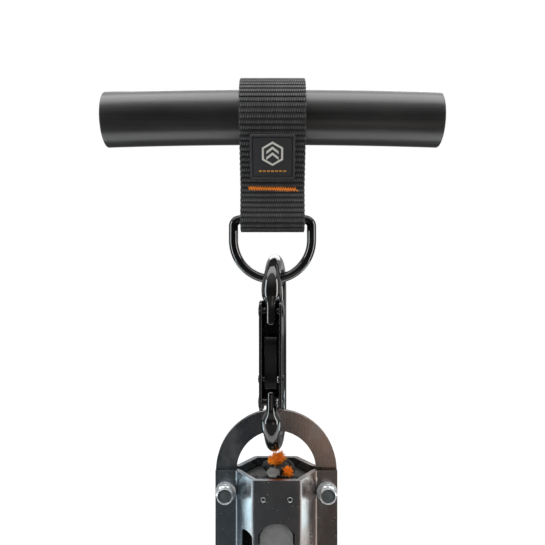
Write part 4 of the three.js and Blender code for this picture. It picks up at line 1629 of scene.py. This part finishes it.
    def lever(self) -> Piece:
        """The lock lever: a bar with a scooped thumb face and rounded edges."""
        low, high, inner, outer = -208.4, -169.2, -20.5, -27.5
        steps = 14
        face = []
        for k in range(steps + 1):
            t = k / steps
            scoop = 0.55 * sin(pi * min(1.0, t / 0.8)) ** 2
            broken_edge = 0.9 if k in (0, steps) else 0.0
            face.append((outer + scoop + broken_edge, low + 0.6 + (high - low - 1.2) * t))
        outline = [(inner, high - 2.4), (inner, low + 2.4), (inner - 2.2, low)] + face + [(inner - 2.2, high)]
        arm = self.piece("lock_lever_arm", prism(outline, -4.5, 4.5, Axis.X))
        hole = rod(self.lever_radius + 0.2, -8, 8, Axis.X, 32).shifted(0, self.lever_y, self.lever_z)
        cut(arm, hole.moved(self.seat()))
        return eased_edges(arm, 1.1, 4, 25)

    def coil(self, name: str, pin_radius: float, low: float, y: float, z: float) -> Piece:
        """A torsion spring's coils round a pin, beside the lug.

        Args:
            name: the piece's name.
            pin_radius: the pin inside it.
            low: the lug's half width.
            y: where it lies across the hook.
            z: its height.

        Returns:
            The spring.
        """
        wire, turns, steps = 0.4, 2.2, 90
        start, end = low + self.gap + wire, self.gate_half - self.sheet - self.gap - wire
        mean = pin_radius + self.gap + wire + 0.15
        rings = []
        for k in range(steps + 1):
            angle = TURN * turns * k / steps
            centre = Vector((start + (end - start) * k / steps, mean * cos(angle), mean * sin(angle)))
            out = Vector((0, cos(angle), sin(angle)))
            rings.append([centre + out * (wire * cos(a)) + ACROSS * (wire * sin(a))
                          for a in [TURN * j / 10 for j in range(10)]])
        return self.piece(name, lofted(rings).shifted(0, y, z), 60)

    def build(self) -> None:
        """Makes and dresses the hook, its gate and its lever."""
        settled(self.frame(), GLOSS, Body.HOOK, Slot.GLOSS, "hook_frame")
        rivet = self.pin("hinge_rivet", self.rivet_radius, 4.6, -self.rod_y, self.rivet_z)
        settled(rivet, SATIN, Body.HOOK, Slot.SATIN, "gate_hinge_rivet")
        settled(self.channel(), SATIN, Body.GATE, Slot.SATIN, "gate_channel")
        latch = self.pin("latch_pin", self.latch_radius, 4.2, -self.rod_y, self.latch_z)
        settled(latch, SATIN, Body.GATE, Slot.SATIN, "gate_latch_pin")
        lever_pin = self.pin("lever_hinge_pin", self.lever_radius, 3.0, self.lever_y, self.lever_z)
        settled(lever_pin, SATIN, Body.GATE, Slot.SATIN, "lever_pin")
        settled(self.lever(), GLOSS, Body.LEVER, Slot.GLOSS, "lock_lever")
        gate_coil = self.coil("gate_coil", self.rivet_radius, self.heel_tang, -self.rod_y, self.rivet_z)
        settled(gate_coil, SPRING, Body.GATE, Slot.SPRING, "gate_spring")
        lever_coil = self.coil("lever_coil", self.lever_radius, 4.5, self.lever_y, self.lever_z)
        settled(lever_coil, SPRING, Body.LEVER, Slot.SPRING, "lever_spring")


# --- bail and housing


@dataclass
class Housing:
    """The bail plate, the two pressed half shells and what stands inside them."""

    centre_x: float = later(lambda: pivot("trolley_swing").x)
    outer_radius: float = 47.2
    leg: float = 16.2
    thick: float = 5.0
    sheet: float = 4.0
    gap: float = 0.3
    face_half: float = 17.5
    hat_half: float = 31.0
    depth: float = 28.0
    bolt_x: float = 39.1
    bolt_radius: float = 4.0
    window_half: float = 13.5
    shoulder_drop: float = 8.0
    low: float = later(lambda: box("front_shell")[0].z)
    top: float = later(lambda: box("front_shell")[1].z)
    arch_top: float = later(lambda: box("bail_plate")[1].z)
    pin_z: float = later(lambda: middle("seat_pin_left").z)
    pin_x: float = later(lambda: middle("seat_pin_right").x - pivot("trolley_swing").x)
    carrier_top: float = later(lambda: box("wheel_carrier")[1].z)
    bolt_rows: list[float] = later(lambda: [
        middle("bolt_high_left").z, middle("bolt_low_left").z])
    side_slot: Flat = (-352.0, -315.3)
    pin_hole: float = 2.4
    axle_hole: float = 5.3
    plate_foot: float = -336.0
    cheek_foot: float = -361.0

    def in_place(self, form: Form) -> Form:
        """Moves a form from the housing's own middle to its place."""
        return form.shifted(self.centre_x)

    def bolt_places(self) -> list[Vector]:
        """The four clamp bolts' places."""
        return [Vector((self.centre_x + side * self.bolt_x, 0, z))
                for side in HANDS for z in self.bolt_rows]

    def bolt_drills(self, low: float, high: float) -> list[Form]:
        """The four bolt holes as drills from low to high along Y."""
        return [rod(self.bolt_radius + self.gap, low, high, Axis.Y).shifted(p.x - self.centre_x, 0, p.z)
                for p in self.bolt_places()]

    def bail(self) -> Piece:
        """The flat arched plate."""
        arch_z = self.arch_top - self.outer_radius
        inner = self.outer_radius - self.leg
        outline = arc((0, arch_z), self.outer_radius, 0, TURN / 2, 96)
        outline += [(-self.outer_radius, self.low), (-inner, self.low)]
        outline += arc((0, arch_z), inner, TURN / 2, 0, 72)
        outline += [(inner, self.low), (self.outer_radius, self.low)]
        plate = made("bail", self.in_place(prism(outline, -self.thick / 2, self.thick / 2, Axis.Y)))
        cut(plate, *[self.in_place(drill) for drill in self.bolt_drills(-5, 5)])
        return eased_edges(plate, 0.55, 3)

    def hat_outline(self) -> list[Flat]:
        """The pressed sheet's section: flanges, two slanted sides and a face, all bends rounded."""
        near = self.thick / 2 + self.gap
        flange = near + self.sheet
        lean = atan2(self.hat_half - self.face_half, self.depth - flange)
        shift = self.sheet * (1 - sin(lean)) / cos(lean)
        right = [(self.outer_radius, near), (self.outer_radius, flange), (self.hat_half, flange),
                 (self.face_half, self.depth)]
        right_radii = [0.0, 0.0, 3.0, 4.6]
        inside = [(self.face_half - shift, self.depth - self.sheet), (self.hat_half - shift, near)]
        inside_radii = [1.0, 6.5]
        points = right + flipped(right)
        radii = right_radii + right_radii[::-1]
        points += flipped(inside) + inside
        radii += inside_radii[::-1] + inside_radii
        return filleted([(x, -y) for x, y in points], radii, 9)

    def half_shell(self, name: str, is_rear: bool) -> Piece:
        """One half shell, with its arched window, side slot and holes.

        Args:
            name: the piece's name.
            is_rear: True for the one behind, turned half round.

        Returns:
            The shell.
        """
        turned = Matrix.Rotation(pi if is_rear else 0.0, 4, "Z")
        shell = made(name, self.in_place(prism(self.hat_outline(), self.low, self.top, Axis.Z).moved(turned)))
        apex, foot = self.carrier_top + 0.6, self.low + 10.0
        shoulder = apex - self.shoulder_drop
        window = arched(self.window_half, 4.0, foot, shoulder, apex, 24)
        slot = rectangle((-self.face_half - 8.7, self.side_slot[0]),
                         (-self.face_half - 0.4, self.side_slot[1]), 3.0)
        near = self.thick / 2 + self.gap + self.sheet
        tools = [prism(window, -self.depth - 2, -self.depth + self.sheet + 2, Axis.Y),
                 prism(slot, -self.depth + 0.5, -near - 0.5, Axis.Y)]
        tools += [rod(self.pin_hole, -self.depth - 2, -self.depth + self.sheet + 2, Axis.Y, 32)
                  .shifted(side * self.pin_x, 0, self.pin_z) for side in (-1, 1)]
        for tool in tools + self.bolt_drills(-near - 1, 0):
            cut(shell, self.in_place(tool.moved(turned)))
        return eased_edges(shell, 0.5, 3)

    def seat_pin(self, side: int) -> Piece:
        """A hollow spring pin, chamfered and split along its length."""
        radius, bore, end = 2.25, 1.2, self.depth + 0.25
        profile = [(bore, -end + 0.3), (bore + 0.3, -end), (radius - 0.35, -end), (radius, -end + 0.5)]
        tube = spun(profile + mirrored(profile), Axis.Y, 36, True)
        slit = prism(rectangle((-0.18, -bore - 2), (0.18, 0), 0.02, 1), -end - 1, end + 1, Axis.Y)
        place = (self.centre_x + side * self.pin_x, 0, self.pin_z)
        return cut(made("seat_pin_ring_" + HANDS[side], tube.shifted(*place), 45), slit.shifted(*place))

    def carrier(self) -> Piece:
        """The cast wheel carrier: two arched plates and two cheeks."""
        half, plate, face, cheek = 12.15, 4.0, 26.0, 4.0
        top = self.carrier_top
        shoulder = top - self.shoulder_drop
        arch = arched(half, 3.6, self.plate_foot, shoulder, top, 20)
        body = made("carrier", self.in_place(prism(arch, -face, plate - face, Axis.Y)))
        combined(body, self.in_place(prism(arch, face - plate, face, Axis.Y)), "UNION")
        for side in (-1, 1):
            outer, inner = side * half, side * (half - cheek)
            walls = rectangle((-face, self.cheek_foot), (face, shoulder), 2.0)
            wall = prism(walls, min(outer, inner), max(outer, inner), Axis.X)
            combined(body, self.in_place(wall), "UNION")
        cut(body, rod(self.axle_hole, -20, 20, Axis.X).shifted(self.centre_x, 0, pivot("wheel_spin").z))
        return eased_edges(body, 0.6, 3)

    def build(self) -> None:
        """Makes and dresses the housing."""
        settled(self.bail(), PLATE, Body.TROLLEY, Slot.PLATE, "bail_plate")
        settled(self.half_shell("shell_front", False), SHEET, Body.TROLLEY, Slot.PLATE, "front_shell")
        settled(self.half_shell("shell_rear", True), SHEET, Body.TROLLEY, Slot.PLATE, "rear_shell")
        for side, hand in HANDS.items():
            settled(self.seat_pin(side), POLISHED, Body.TROLLEY, Slot.FASTENER, "seat_pin_" + hand)
        settled(self.carrier(), CAST, Body.TROLLEY, Slot.CAST, "wheel_carrier")
        seat = frame["nodes"]["rope_seat"]
        # Painted shade: the near-black seat finish stands for the shade inside the housing.
        shop.coat(seat, SEAT_IN_SHADE)
        ClampBolts(self.bolt_places(), self.thick / 2 + self.gap + self.sheet).build()


@dataclass
class ClampBolts:
    """The clamp bolts with their lock nuts and washers."""

    places: list[Vector]
    flange: float
    gap: float = 0.3
    washer_radius: float = 8.0
    washer_thick: float = 1.6
    flats: float = 13.0
    nut_high: float = 8.0
    hex_high: float = 4.7
    head_high: float = 5.5
    shank: float = 4.0
    sides: int = 96

    def ring(self, radius: float, height: float, fall: Optional[float] = None) -> list[Vector]:
        """A ring of a turned or milled shape.

        Args:
            radius: its radius, or the furthest that a hexagon's corner may stand out.
            height: where it lies along Y.
            fall: which way, and how steeply, a hexagon's chamfer drops; None for a round ring.

        Returns:
            The ring's points.
        """
        points = []
        sector = TURN / 6
        for k in range(self.sides):
            angle = TURN * k / self.sides
            reach, drop = radius, 0.0
            if fall is not None:
                reach = min(radius, (self.flats / 2) / cos((angle % sector) - sector / 2))
                drop = fall * (max(0.0, reach - self.flats * 0.475) * 0.55)
            points.append(Vector((reach * cos(angle), height - drop, reach * sin(angle))))
        return points

    def nut(self) -> Piece:
        """A lock nut: a chamfered hexagon with a rolled collar, built towards -Y."""
        base, edge = 0.0, -self.hex_high
        top = -self.nut_high
        inner, collar = 4.9, 6.3
        rings = [self.ring(self.shank + 0.15, base), self.ring(self.flats * 0.46, base),
                 self.ring(WIDEST, base - 0.25, 1.0), self.ring(WIDEST, edge, -1.0),
                 self.ring(collar - 0.15, edge - 0.35), self.ring(collar - 0.2, edge - 0.7),
                 self.ring(collar, edge - 1.1), self.ring(collar, top + 0.7),
                 self.ring(collar - 0.2, top + 0.2), self.ring(collar - 0.55, top),
                 self.ring(collar - 0.9, top + 0.12), self.ring(collar - 1.1, top + 0.6),
                 self.ring(inner + 0.2, top + 1.5), self.ring(inner, top + 2.3),
                 self.ring(self.shank + 0.1, top + 2.4)]
        return made("nut_item", lofted(rings, True), 32)

    def insert(self) -> Piece:
        """The nylon ring in the nut's collar, and a disc over the bolt's end; both are coloured dark as
        painted shade inside the collar.
        """
        top = -self.nut_high
        profile = [(0.0, top + 0.85), (2.9, top + 0.8), (3.3, top + 0.98), (3.8, top + 0.85),
                   (4.6, top + 0.75), (5.0, top + 0.95), (4.95, top + 2.2), (0.0, top + 2.2)]
        return made("insert_item", spun(profile, Axis.Y, 48), 40)

    def bolt(self) -> Piece:
        """A hexagon bolt, with its head towards +Y and rolled threads at its end."""
        near = self.flange + 2 * self.gap + self.washer_thick
        far = near + self.head_high
        rings = [self.ring(self.shank, near), self.ring(self.flats * 0.46, near),
                 self.ring(self.flats * 0.465, near + 0.3), self.ring(WIDEST, near + 0.5, 0.0),
                 self.ring(WIDEST, far, 1.0), self.ring(self.flats * 0.46, far),
                 self.ring(self.flats * 0.3, far - 0.15), self.ring(0.0, far - 0.15)]
        head = lofted(rings)
        end = -(near + self.nut_high - 1.0)
        profile = [(0.0, end), (self.shank - 0.9, end)]
        pitch, place = 1.25, end
        while place < -self.flange - 6:
            profile += [(self.shank - 0.65, place + 0.1), (self.shank, place + pitch / 2),
                        (self.shank - 0.65, place + pitch - 0.1)]
            place += pitch
        profile += [(self.shank, place + 1.0), (self.shank, near + 0.2), (0.0, near + 0.2)]
        return made("bolt_item", head + spun(profile, Axis.Y, 48), 32)

    def washer(self) -> Piece:
        """A stamped washer with one rolled edge, standing at Y nought."""
        bore, half = self.shank + 0.35, self.washer_thick / 2
        profile = [(bore, -half + 0.2), (bore + 0.2, -half), (self.washer_radius - 0.5, -half),
                   (self.washer_radius - 0.12, -half + 0.15), (self.washer_radius, -half + 0.5),
                   (self.washer_radius, half - 0.1), (self.washer_radius - 0.1, half), (bore + 0.1, half),
                   (bore, half - 0.1)]
        return made("washer_item", spun(profile, Axis.Y, 72, True), 40)

    def build(self) -> None:
        """Puts the fasteners at every place."""
        rows = ("high_left", "high_right", "low_left", "low_right")
        seat = self.flange + self.gap + self.washer_thick
        groups = [
            ("clamp_bolts", self.bolt(), 0.0, FASTENER, ["bolt_" + row for row in rows]),
            ("clamp_nuts", self.nut(), -seat - self.gap, FASTENER, ["nut_" + row for row in rows]),
            # The inserts cover the bolts' ends with a dark disc: painted shade inside the collars.
            ("clamp_nut_inserts", self.insert(), -seat - self.gap, INSERT_IN_SHADE, []),
            ("washers_front", self.washer(), -seat + self.washer_thick / 2, FASTENER,
             ["washer_front_" + row for row in rows]),
            ("washers_rear", self.washer(), seat - self.washer_thick / 2, FASTENER,
             ["washer_rear_" + row for row in rows]),
        ]
        for name, item, y, finish, nodes in groups:
            spots = [place + Vector((0, y, 0)) for place in self.places]
            piece = placed_copies(name, item, spots, finish)
            settled(piece, None, Body.TROLLEY, Slot.FASTENER, *nodes)


# --- running wheel


@dataclass
class RunningWheel:
    """The grooved wheel on its axle, with its bearings and circlips."""

    rim: float = 19.5
    half: float = 7.0
    groove: float = 6.0
    mouth: float = 6.0
    bore: float = 13.0
    axle: float = 5.0
    carrier_half: float = 12.15
    gap: float = 0.3
    circlip_radius: float = 7.5
    circlip_thick: float = 1.2
    centre: Vector = later(lambda: pivot("wheel_spin"))

    def piece(self, name: str, profile: Sequence[Flat], steps: int, is_loop: bool) -> Piece:
        """A turned piece on the wheel's axis."""
        form = spun(profile, Axis.X, steps, is_loop).moved(Matrix.Translation(self.centre))
        return made(name, form, 36)

    def sheave(self) -> Piece:
        """The wheel, with rounded rims, a groove and a stepped hub."""
        profile = [(self.bore, -self.half + 0.4), (self.bore + 0.4, -self.half), (self.rim - 4.4, -self.half),
                   (self.rim - 4.2, -self.half + 0.6), (self.rim - 2.6, -self.half + 0.6),
                   (self.rim - 2.4, -self.half), (self.rim - 0.5, -self.half), (self.rim, -self.half + 0.4)]
        steps = 28
        for i in range(steps + 1):
            angle = pi * i / steps
            profile.append((self.rim - self.groove * sin(angle), -self.mouth * cos(angle)))
        profile += mirrored(profile[:8])
        return self.piece("running_wheel", profile, 112, True)

    def bearing(self, side: int) -> Piece:
        """A sealed ball bearing: outer race, dished seal and inner race."""
        outer, inner = self.bore - self.gap, self.axle + self.gap
        near, far = side * self.gap, side * self.half
        dip = far - side * 0.45
        profile = [(inner, near), (outer, near), (outer, far - side * 0.3), (outer - 0.3, far),
                   (outer - 1.5, far), (outer - 1.6, dip), (outer - 3.4, dip - side * 0.1),
                   (inner + 1.7, dip), (inner + 1.6, far), (inner + 0.3, far), (inner, far - side * 0.3)]
        return self.piece("bearing_race_" + HANDS[side], profile, 80, True)

    def circlip(self, side: int) -> Piece:
        """A retaining ring with a gap between its two lugs."""
        near = self.carrier_half + self.gap
        inner, lug, slack = self.axle + 0.15, 0.9, 0.42
        outline = arc((0, 0), self.circlip_radius - 0.6, slack, TURN - slack, 56)
        for radius, turn in ((self.circlip_radius, slack * 0.55), (inner + lug * 0.2, slack * 0.5)):
            outline.append((radius * cos(turn), -radius * sin(turn)))
        outline += arc((0, 0), inner, TURN - slack, slack, 56)
        ends = sorted((side * near, side * (near + self.circlip_thick)))
        form = prism(outline, ends[0], ends[1], Axis.X).moved(Matrix.Translation(self.centre))
        return eased_edges(made("circlip_ring_" + HANDS[side], form), 0.12, 2)

    def build(self) -> None:
        """Makes and dresses the wheel set."""
        settled(self.sheave(), NYLON, Body.WHEEL, Slot.NYLON, "wheel_sheave")
        end = self.carrier_half + self.gap + self.circlip_thick + 0.2
        pin = [(0.0, -end), (self.axle - 0.5, -end), (self.axle, -end + 0.4)]
        axle = self.piece("axle", pin + mirrored(pin), 56, False)
        settled(axle, POLISHED, Body.TROLLEY, Slot.FASTENER, "axle_pin")
        for side, hand in HANDS.items():
            settled(self.bearing(side), SPRING, Body.WHEEL, Slot.SPRING, "bearing_" + hand)
            settled(self.circlip(side), SPRING, Body.TROLLEY, Slot.SPRING, "circlip_" + hand)


# --- load rope


@dataclass
class FrayedEnd:
    """One of the rope's cut ends: fibres that grow out of a matted core, most of them leaning one way.

    The core has its half sizes, its lean about Y in degrees, and its unevenness as a share of its size.
    The fibres have the way they lean, how many grow from a square millimetre, their radius and length,
    and how much of the core's own normal turns them.
    """

    name: str
    node: str
    finish: Finish
    slot: Slot
    seed: int
    size: Colour
    core_lean: float
    uneven: float
    toward: Colour
    count: float
    half_width: float
    length: float
    spread: float

    def core(self) -> Piece:
        """The matted lump, which stays inside the fibres."""
        steps, sides = 20, 28
        turned = Matrix.Rotation(radians(self.core_lean), 4, "Y")
        rings = []
        for i in range(steps + 1):
            polar = pi * i / steps
            ring = []
            for j in range(sides):
                angle = TURN * j / sides
                wave = sin(3 * angle + 4 * polar) * 0.6 + sin(7 * angle - 5 * polar) * 0.4
                swell = 1 + self.uneven * wave
                point = Vector((self.size[0] * cos(polar),
                                self.size[1] * sin(polar) * cos(angle) * swell,
                                self.size[2] * sin(polar) * sin(angle) * swell))
                ring.append(turned @ point)
            rings.append(ring)
        drop = Vector((-0.2 * self.size[0], 0.0, -0.5 * self.size[0]))
        return made(self.name, lofted(rings).moved(Matrix.Translation(middle(self.node) + drop)), 80)

    def build(self) -> None:
        """Grows the fibres and puts the end on its body."""
        tree = Pattern("frayed_end", self.finish, {
            "Density": ("Float", self.count / (MM * MM)), "Radius": ("Float", self.half_width * MM),
            "Length": ("Float", self.length * MM), "Lean": ("Vector", Vector(self.toward).normalized()),
            "Spread": ("Float", self.spread), "Seed": ("Int", self.seed)})
        spots = tree.node("GeometryNodeDistributePointsOnFaces", inputs={
            "Mesh": tree.given("Geometry"), "Density": tree.given("Density"), "Seed": tree.given("Seed")})
        jitter = tree.vector(*[tree.chance(-0.45, 0.45, tree.number("Seed") + k) for k in (1, 2, 3)])
        toward = tree.scaled(spots.outputs["Normal"], tree.given("Spread"))
        for push in (tree.given("Lean"), jitter):
            toward = tree.node("ShaderNodeVectorMath", {"operation": "ADD"}, {0: toward, 1: push}).outputs[0]
        turned = tree.node("FunctionNodeAlignRotationToVector", {"axis": "Z"}, {"Vector": toward})
        fibre = tree.node("GeometryNodeMeshCone", inputs={
            "Vertices": 5, "Side Segments": 3, "Radius Top": tree.number("Radius") * 0.45,
            "Radius Bottom": tree.given("Radius"), "Depth": tree.given("Length")})
        stretch = tree.vector(1.0, 1.0, tree.chance(0.45, 1.3, tree.number("Seed") + 4))
        hairs = tree.copies(spots.outputs["Points"], fibre.outputs[0], turned.outputs[0], stretch)
        both = tree.node("GeometryNodeJoinGeometry")
        for part in (hairs, tree.given("Geometry")):
            tree.tree.links.new(part, both.inputs[0])
        tree.close(both.outputs[0])
        settled(tree.grown(self.core()), None, Body.TROLLEY, self.slot, self.node)


@dataclass
class LoadRope:
    """The braided rope that carries the load, its knot, its frayed ends and its thimble."""

    radius: float = 4.5
    leg_x: float = 19.0
    bend_z: float = -394.0
    top_z: float = later(lambda: box("rope_loop")[1].z)
    centre_x: float = later(lambda: pivot("trolley_swing").x)
    knot_centre: Vector = later(lambda: middle("rope_knot"))

    def braid(self, path: Sequence[Vector], across: Sequence[Vector], radius: float, steps: int,
              is_loop: bool) -> Form:
        """A braided tube: two sets of strands wound opposite ways, over and under.

        Args:
            path: the centre line, evenly spaced.
            across: a direction square to the path at each point.
            radius: the rope's radius.
            steps: points around it.
            is_loop: True if it closes on itself.

        Returns:
            The tube.
        """
        rings = []
        length = 0.0
        strands, lay = 6, radius * 5.2
        for i, place in enumerate(path):
            after = path[(i + 1) % len(path)] if i < len(path) - 1 or is_loop else place
            before = path[i - 1] if i > 0 or is_loop else place
            forward = (after - before).normalized()
            side = (across[i] - forward * across[i].dot(forward)).normalized()
            out = forward.cross(side)
            if i:
                length += (place - path[i - 1]).length
            ring = []
            for j in range(steps):
                angle = TURN * j / steps
                one = abs(sin(strands * (angle + TURN * length / lay) / 2))
                two = abs(sin(strands * (angle - TURN * length / lay) / 2))
                high = max(one, two) ** 0.7
                size = radius * (0.9 + 0.1 * high)
                ring.append(place + side * (size * cos(angle)) + out * (size * sin(angle)))
            rings.append(ring)
        return lofted(rings, is_loop)

    def route(self) -> list[Vector]:
        """The loop's centre line, down one side of the wheel, round the thimble and up the other."""
        steps = 210
        drop = self.top_z - self.bend_z
        flat = [(-self.leg_x, self.top_z - drop * k / steps) for k in range(steps)]
        flat += arc((0, self.bend_z), self.leg_x, TURN / 2, TURN, 110)
        flat += [(self.leg_x, self.bend_z + drop * k / steps) for k in range(1, steps + 1)]
        return [Vector((self.centre_x + x, 0, z)) for x, z in flat]

    def thimble(self) -> Piece:
        """The turned thimble in the rope's bend, with rolled lips."""
        bore, half, fit = 9.0, 5.5, 0.7
        groove = self.radius + fit
        flange = self.leg_x - groove + 3.0
        profile = [(bore, -half + 0.6), (bore + 0.6, -half), (flange - 0.5, -half), (flange, -half + 0.4)]
        lip = asin((self.leg_x - flange) / groove)
        steps = 24
        for i in range(steps + 1):
            angle = lip + (pi - 2 * lip) * i / steps
            profile.append((self.leg_x - groove * sin(angle), -groove * cos(angle)))
        profile += mirrored(profile[:4])
        form = spun(profile, Axis.Y, 96, True).shifted(self.centre_x, 0, self.bend_z)
        return made("thimble", form, 36)

    def knot(self) -> Form:
        """The stopper knot: a flattened three-lobed knot of the same braid."""
        wide, deep, high, strand = 14.0, 11.0, 6.0, 3.3
        steps = 420
        path = []
        for k in range(steps):
            t = TURN * k / steps
            x = (sin(t) + 2 * sin(2 * t)) / 3 * (wide - strand)
            y = (cos(t) - 2 * cos(2 * t)) / 3 * (deep - strand)
            path.append(self.knot_centre + Vector((x, y, -sin(3 * t) * (high - strand))))
        return self.braid(path, [UP] * steps, strand, 26, True)

    def build(self) -> None:
        """Makes and dresses the rope, its knot and what goes with it."""
        thimble = settled(self.thimble(), POLISHED, Body.TROLLEY, Slot.FASTENER, "load_thimble")
        route = self.route()
        rope = made("rope", self.braid(route, [BACK] * len(route), self.radius, 44, False), 80)
        settled(rope, ROPE, Body.TROLLEY, Slot.ROPE, "rope_loop")
        settled(made("knot", self.knot(), 80), ROPE, Body.TROLLEY, Slot.ROPE, "rope_knot")
        for end in (
                FrayedEnd("end_orange_large", "tuft_orange_large", ROPE_ORANGE, Slot.ORANGE,
                          11, (5.6, 2.3, 1.5), -30, 0.5, (0.8, -0.1, 0.42), 3.4, 0.27, 5.6, 0.4),
                FrayedEnd("end_orange_small", "tuft_orange_small", ROPE_ORANGE, Slot.ORANGE,
                          12, (2.7, 1.9, 1.3), 8, 0.5, (0.3, -0.5, 0.5), 3.4, 0.25, 3.2, 0.7),
                FrayedEnd("end_white", "tuft_white", ROPE_WHITE, Slot.WHITE, 13, (3.5, 1.9, 0.9),
                          4, 0.6, (0.6, -0.6, 0.1), 3.0, 0.24, 3.4, 0.7)):
            end.build()


# --- studio


@dataclass
class Studio:
    """Camera, soft lights, pale floor and surroundings."""

    camera_place: Vector = later(lambda: Vector((0.0, -0.440, -0.1218)))
    lens: float = 37.0
    floor_drop: float = 0.1

    def camera(self) -> None:
        """Puts the camera in front, level and square to the bar."""
        data = bpy.data.cameras.new("camera")
        data.lens = self.lens
        data.sensor_width = 36.0
        data.clip_start = 0.01
        camera = bpy.data.objects.new("camera", data)
        camera.location = self.camera_place
        camera.rotation_euler = (TURN / 4, 0, 0)
        bpy.context.scene.collection.objects.link(camera)
        bpy.context.scene.camera = camera

    @staticmethod
    def lamp(name: str, place: Colour, size: Flat, power: float, colour: Colour,
             is_mirrored: bool, is_lighting: bool) -> None:
        """A soft area light that faces the object's middle.

        Args:
            name: the light's name.
            place: where it stands, in metres.
            size: its width and height, in metres.
            power: in watts.
            colour: its colour.
            is_mirrored: False keeps it out of glossy reflections.
            is_lighting: False leaves it in reflections only.
        """
        data = bpy.data.lights.new(name, "AREA")
        data.shape = "RECTANGLE"
        data.size, data.size_y = size
        data.energy = power
        data.color = colour
        lamp = bpy.data.objects.new(name, data)
        lamp.location = place
        lamp.visible_glossy = is_mirrored
        lamp.visible_diffuse = is_lighting
        lamp.visible_camera = False
        lamp.rotation_euler = (Vector((0, 0, -0.2)) - Vector(place)).to_track_quat("-Z", "Y").to_euler()
        bpy.context.scene.collection.objects.link(lamp)

    @staticmethod
    def surroundings() -> None:
        """A white backdrop, with a darker room in front of the object for it to reflect."""
        world = bpy.data.worlds.new("studio")
        world.use_nodes = True
        bpy.context.scene.world = world
        writer = NodeWriter(world.node_tree)
        world.node_tree.nodes.clear()
        toward = writer.node("ShaderNodeTexCoord").outputs["Generated"]
        parts = writer.node("ShaderNodeSeparateXYZ", inputs={0: toward})
        behind, up = writer.wire(parts, 1), writer.wire(parts, 2)
        room = writer.step(behind, -0.7, 0.6, 0.012, 0.36)
        sky = writer.step(up, 0.2, 0.95, 0.0, 0.55)
        ray = writer.wire(writer.node("ShaderNodeLightPath"), "Is Camera Ray")
        strength = (room + sky).held() * (1 - ray) + ray
        background = writer.node("ShaderNodeBackground", inputs={"Color": (1, 1, 1, 1), "Strength": strength})
        output = writer.node("ShaderNodeOutputWorld")
        world.node_tree.links.new(background.outputs[0], output.inputs[0])

    def floor(self) -> None:
        """A plain pale floor under the object."""
        reach = 3000.0
        level = cad_box[0].z / MM - self.floor_drop / MM
        outline = rectangle((-reach, -reach), (reach, reach), 400.0, 12)
        floor = made("floor", prism(outline, level - 10, level, Axis.Z))
        recipe = Recipe("pale_floor")
        shade = recipe.mix(recipe.noise(220, 2), (0.085, 0.085, 0.085), (0.09, 0.09, 0.09))
        seen = recipe.wire(recipe.node("ShaderNodeLightPath"), "Is Camera Ray")
        floor.data.materials.append(recipe.dress(
            Base_Color=shade, Roughness=0.8, Emission_Color=(1.0, 1.0, 1.0), Emission_Strength=seen * 0.97))

    def build(self) -> None:
        """Sets up the whole studio."""
        self.camera()
        self.surroundings()
        self.floor()
        white, cool, warm = (1.0, 1.0, 1.0), (0.90, 0.96, 1.0), (1.0, 0.96, 0.92)
        glow_left, glow_right, glow_front = (0.72, 0.94, 1.0), (0.76, 0.95, 1.0), (1.0, 0.84, 0.76)
        for name, place, size, power, colour, is_mirrored, is_lighting in (
                ("key_above", (-0.25, -0.55, 0.75), (0.7, 0.5), 7.0, white, False, True),
                ("strip_above", (0.0, -0.12, 0.7), (1.8, 0.6), 9.0, white, True, False),
                ("strip_below", (0.0, 0.0, -0.50), (1.6, 0.34), 2.4, white, True, False),
                ("side_left", (-0.75, -0.30, -0.1), (0.22, 0.9), 4.2, cool, True, True),
                ("side_right", (0.75, -0.30, -0.1), (0.22, 0.9), 4.2, warm, True, True),
                ("glow_left", (-0.42, 0.16, -0.405), (0.14, 0.19), 0.32, glow_left, True, False),
                ("glow_right", (0.42, 0.16, -0.405), (0.14, 0.19), 0.32, glow_right, True, False),
                ("glow_front", (0.16, -0.50, -0.36), (0.2, 0.12), 0.055, glow_front, True, False),
                ("behind", (0.1, 0.8, 0.45), (0.9, 0.6), 4.0, white, True, True)):
            self.lamp(name, place, size, power, colour, is_mirrored, is_lighting)
        bpy.context.scene.view_settings.view_transform = "Standard"


def main() -> None:
    """Builds the looks in order."""
    logging.basicConfig(level=logging.INFO, format="%(name)s: %(message)s")
    Studio().build()
    LoadRope().build()
    HangerBar().build()
    Sling().build()
    DRing().build()
    SnapHook().build()
    Housing().build()
    RunningWheel().build()


if __name__ == "__main__":
    main()
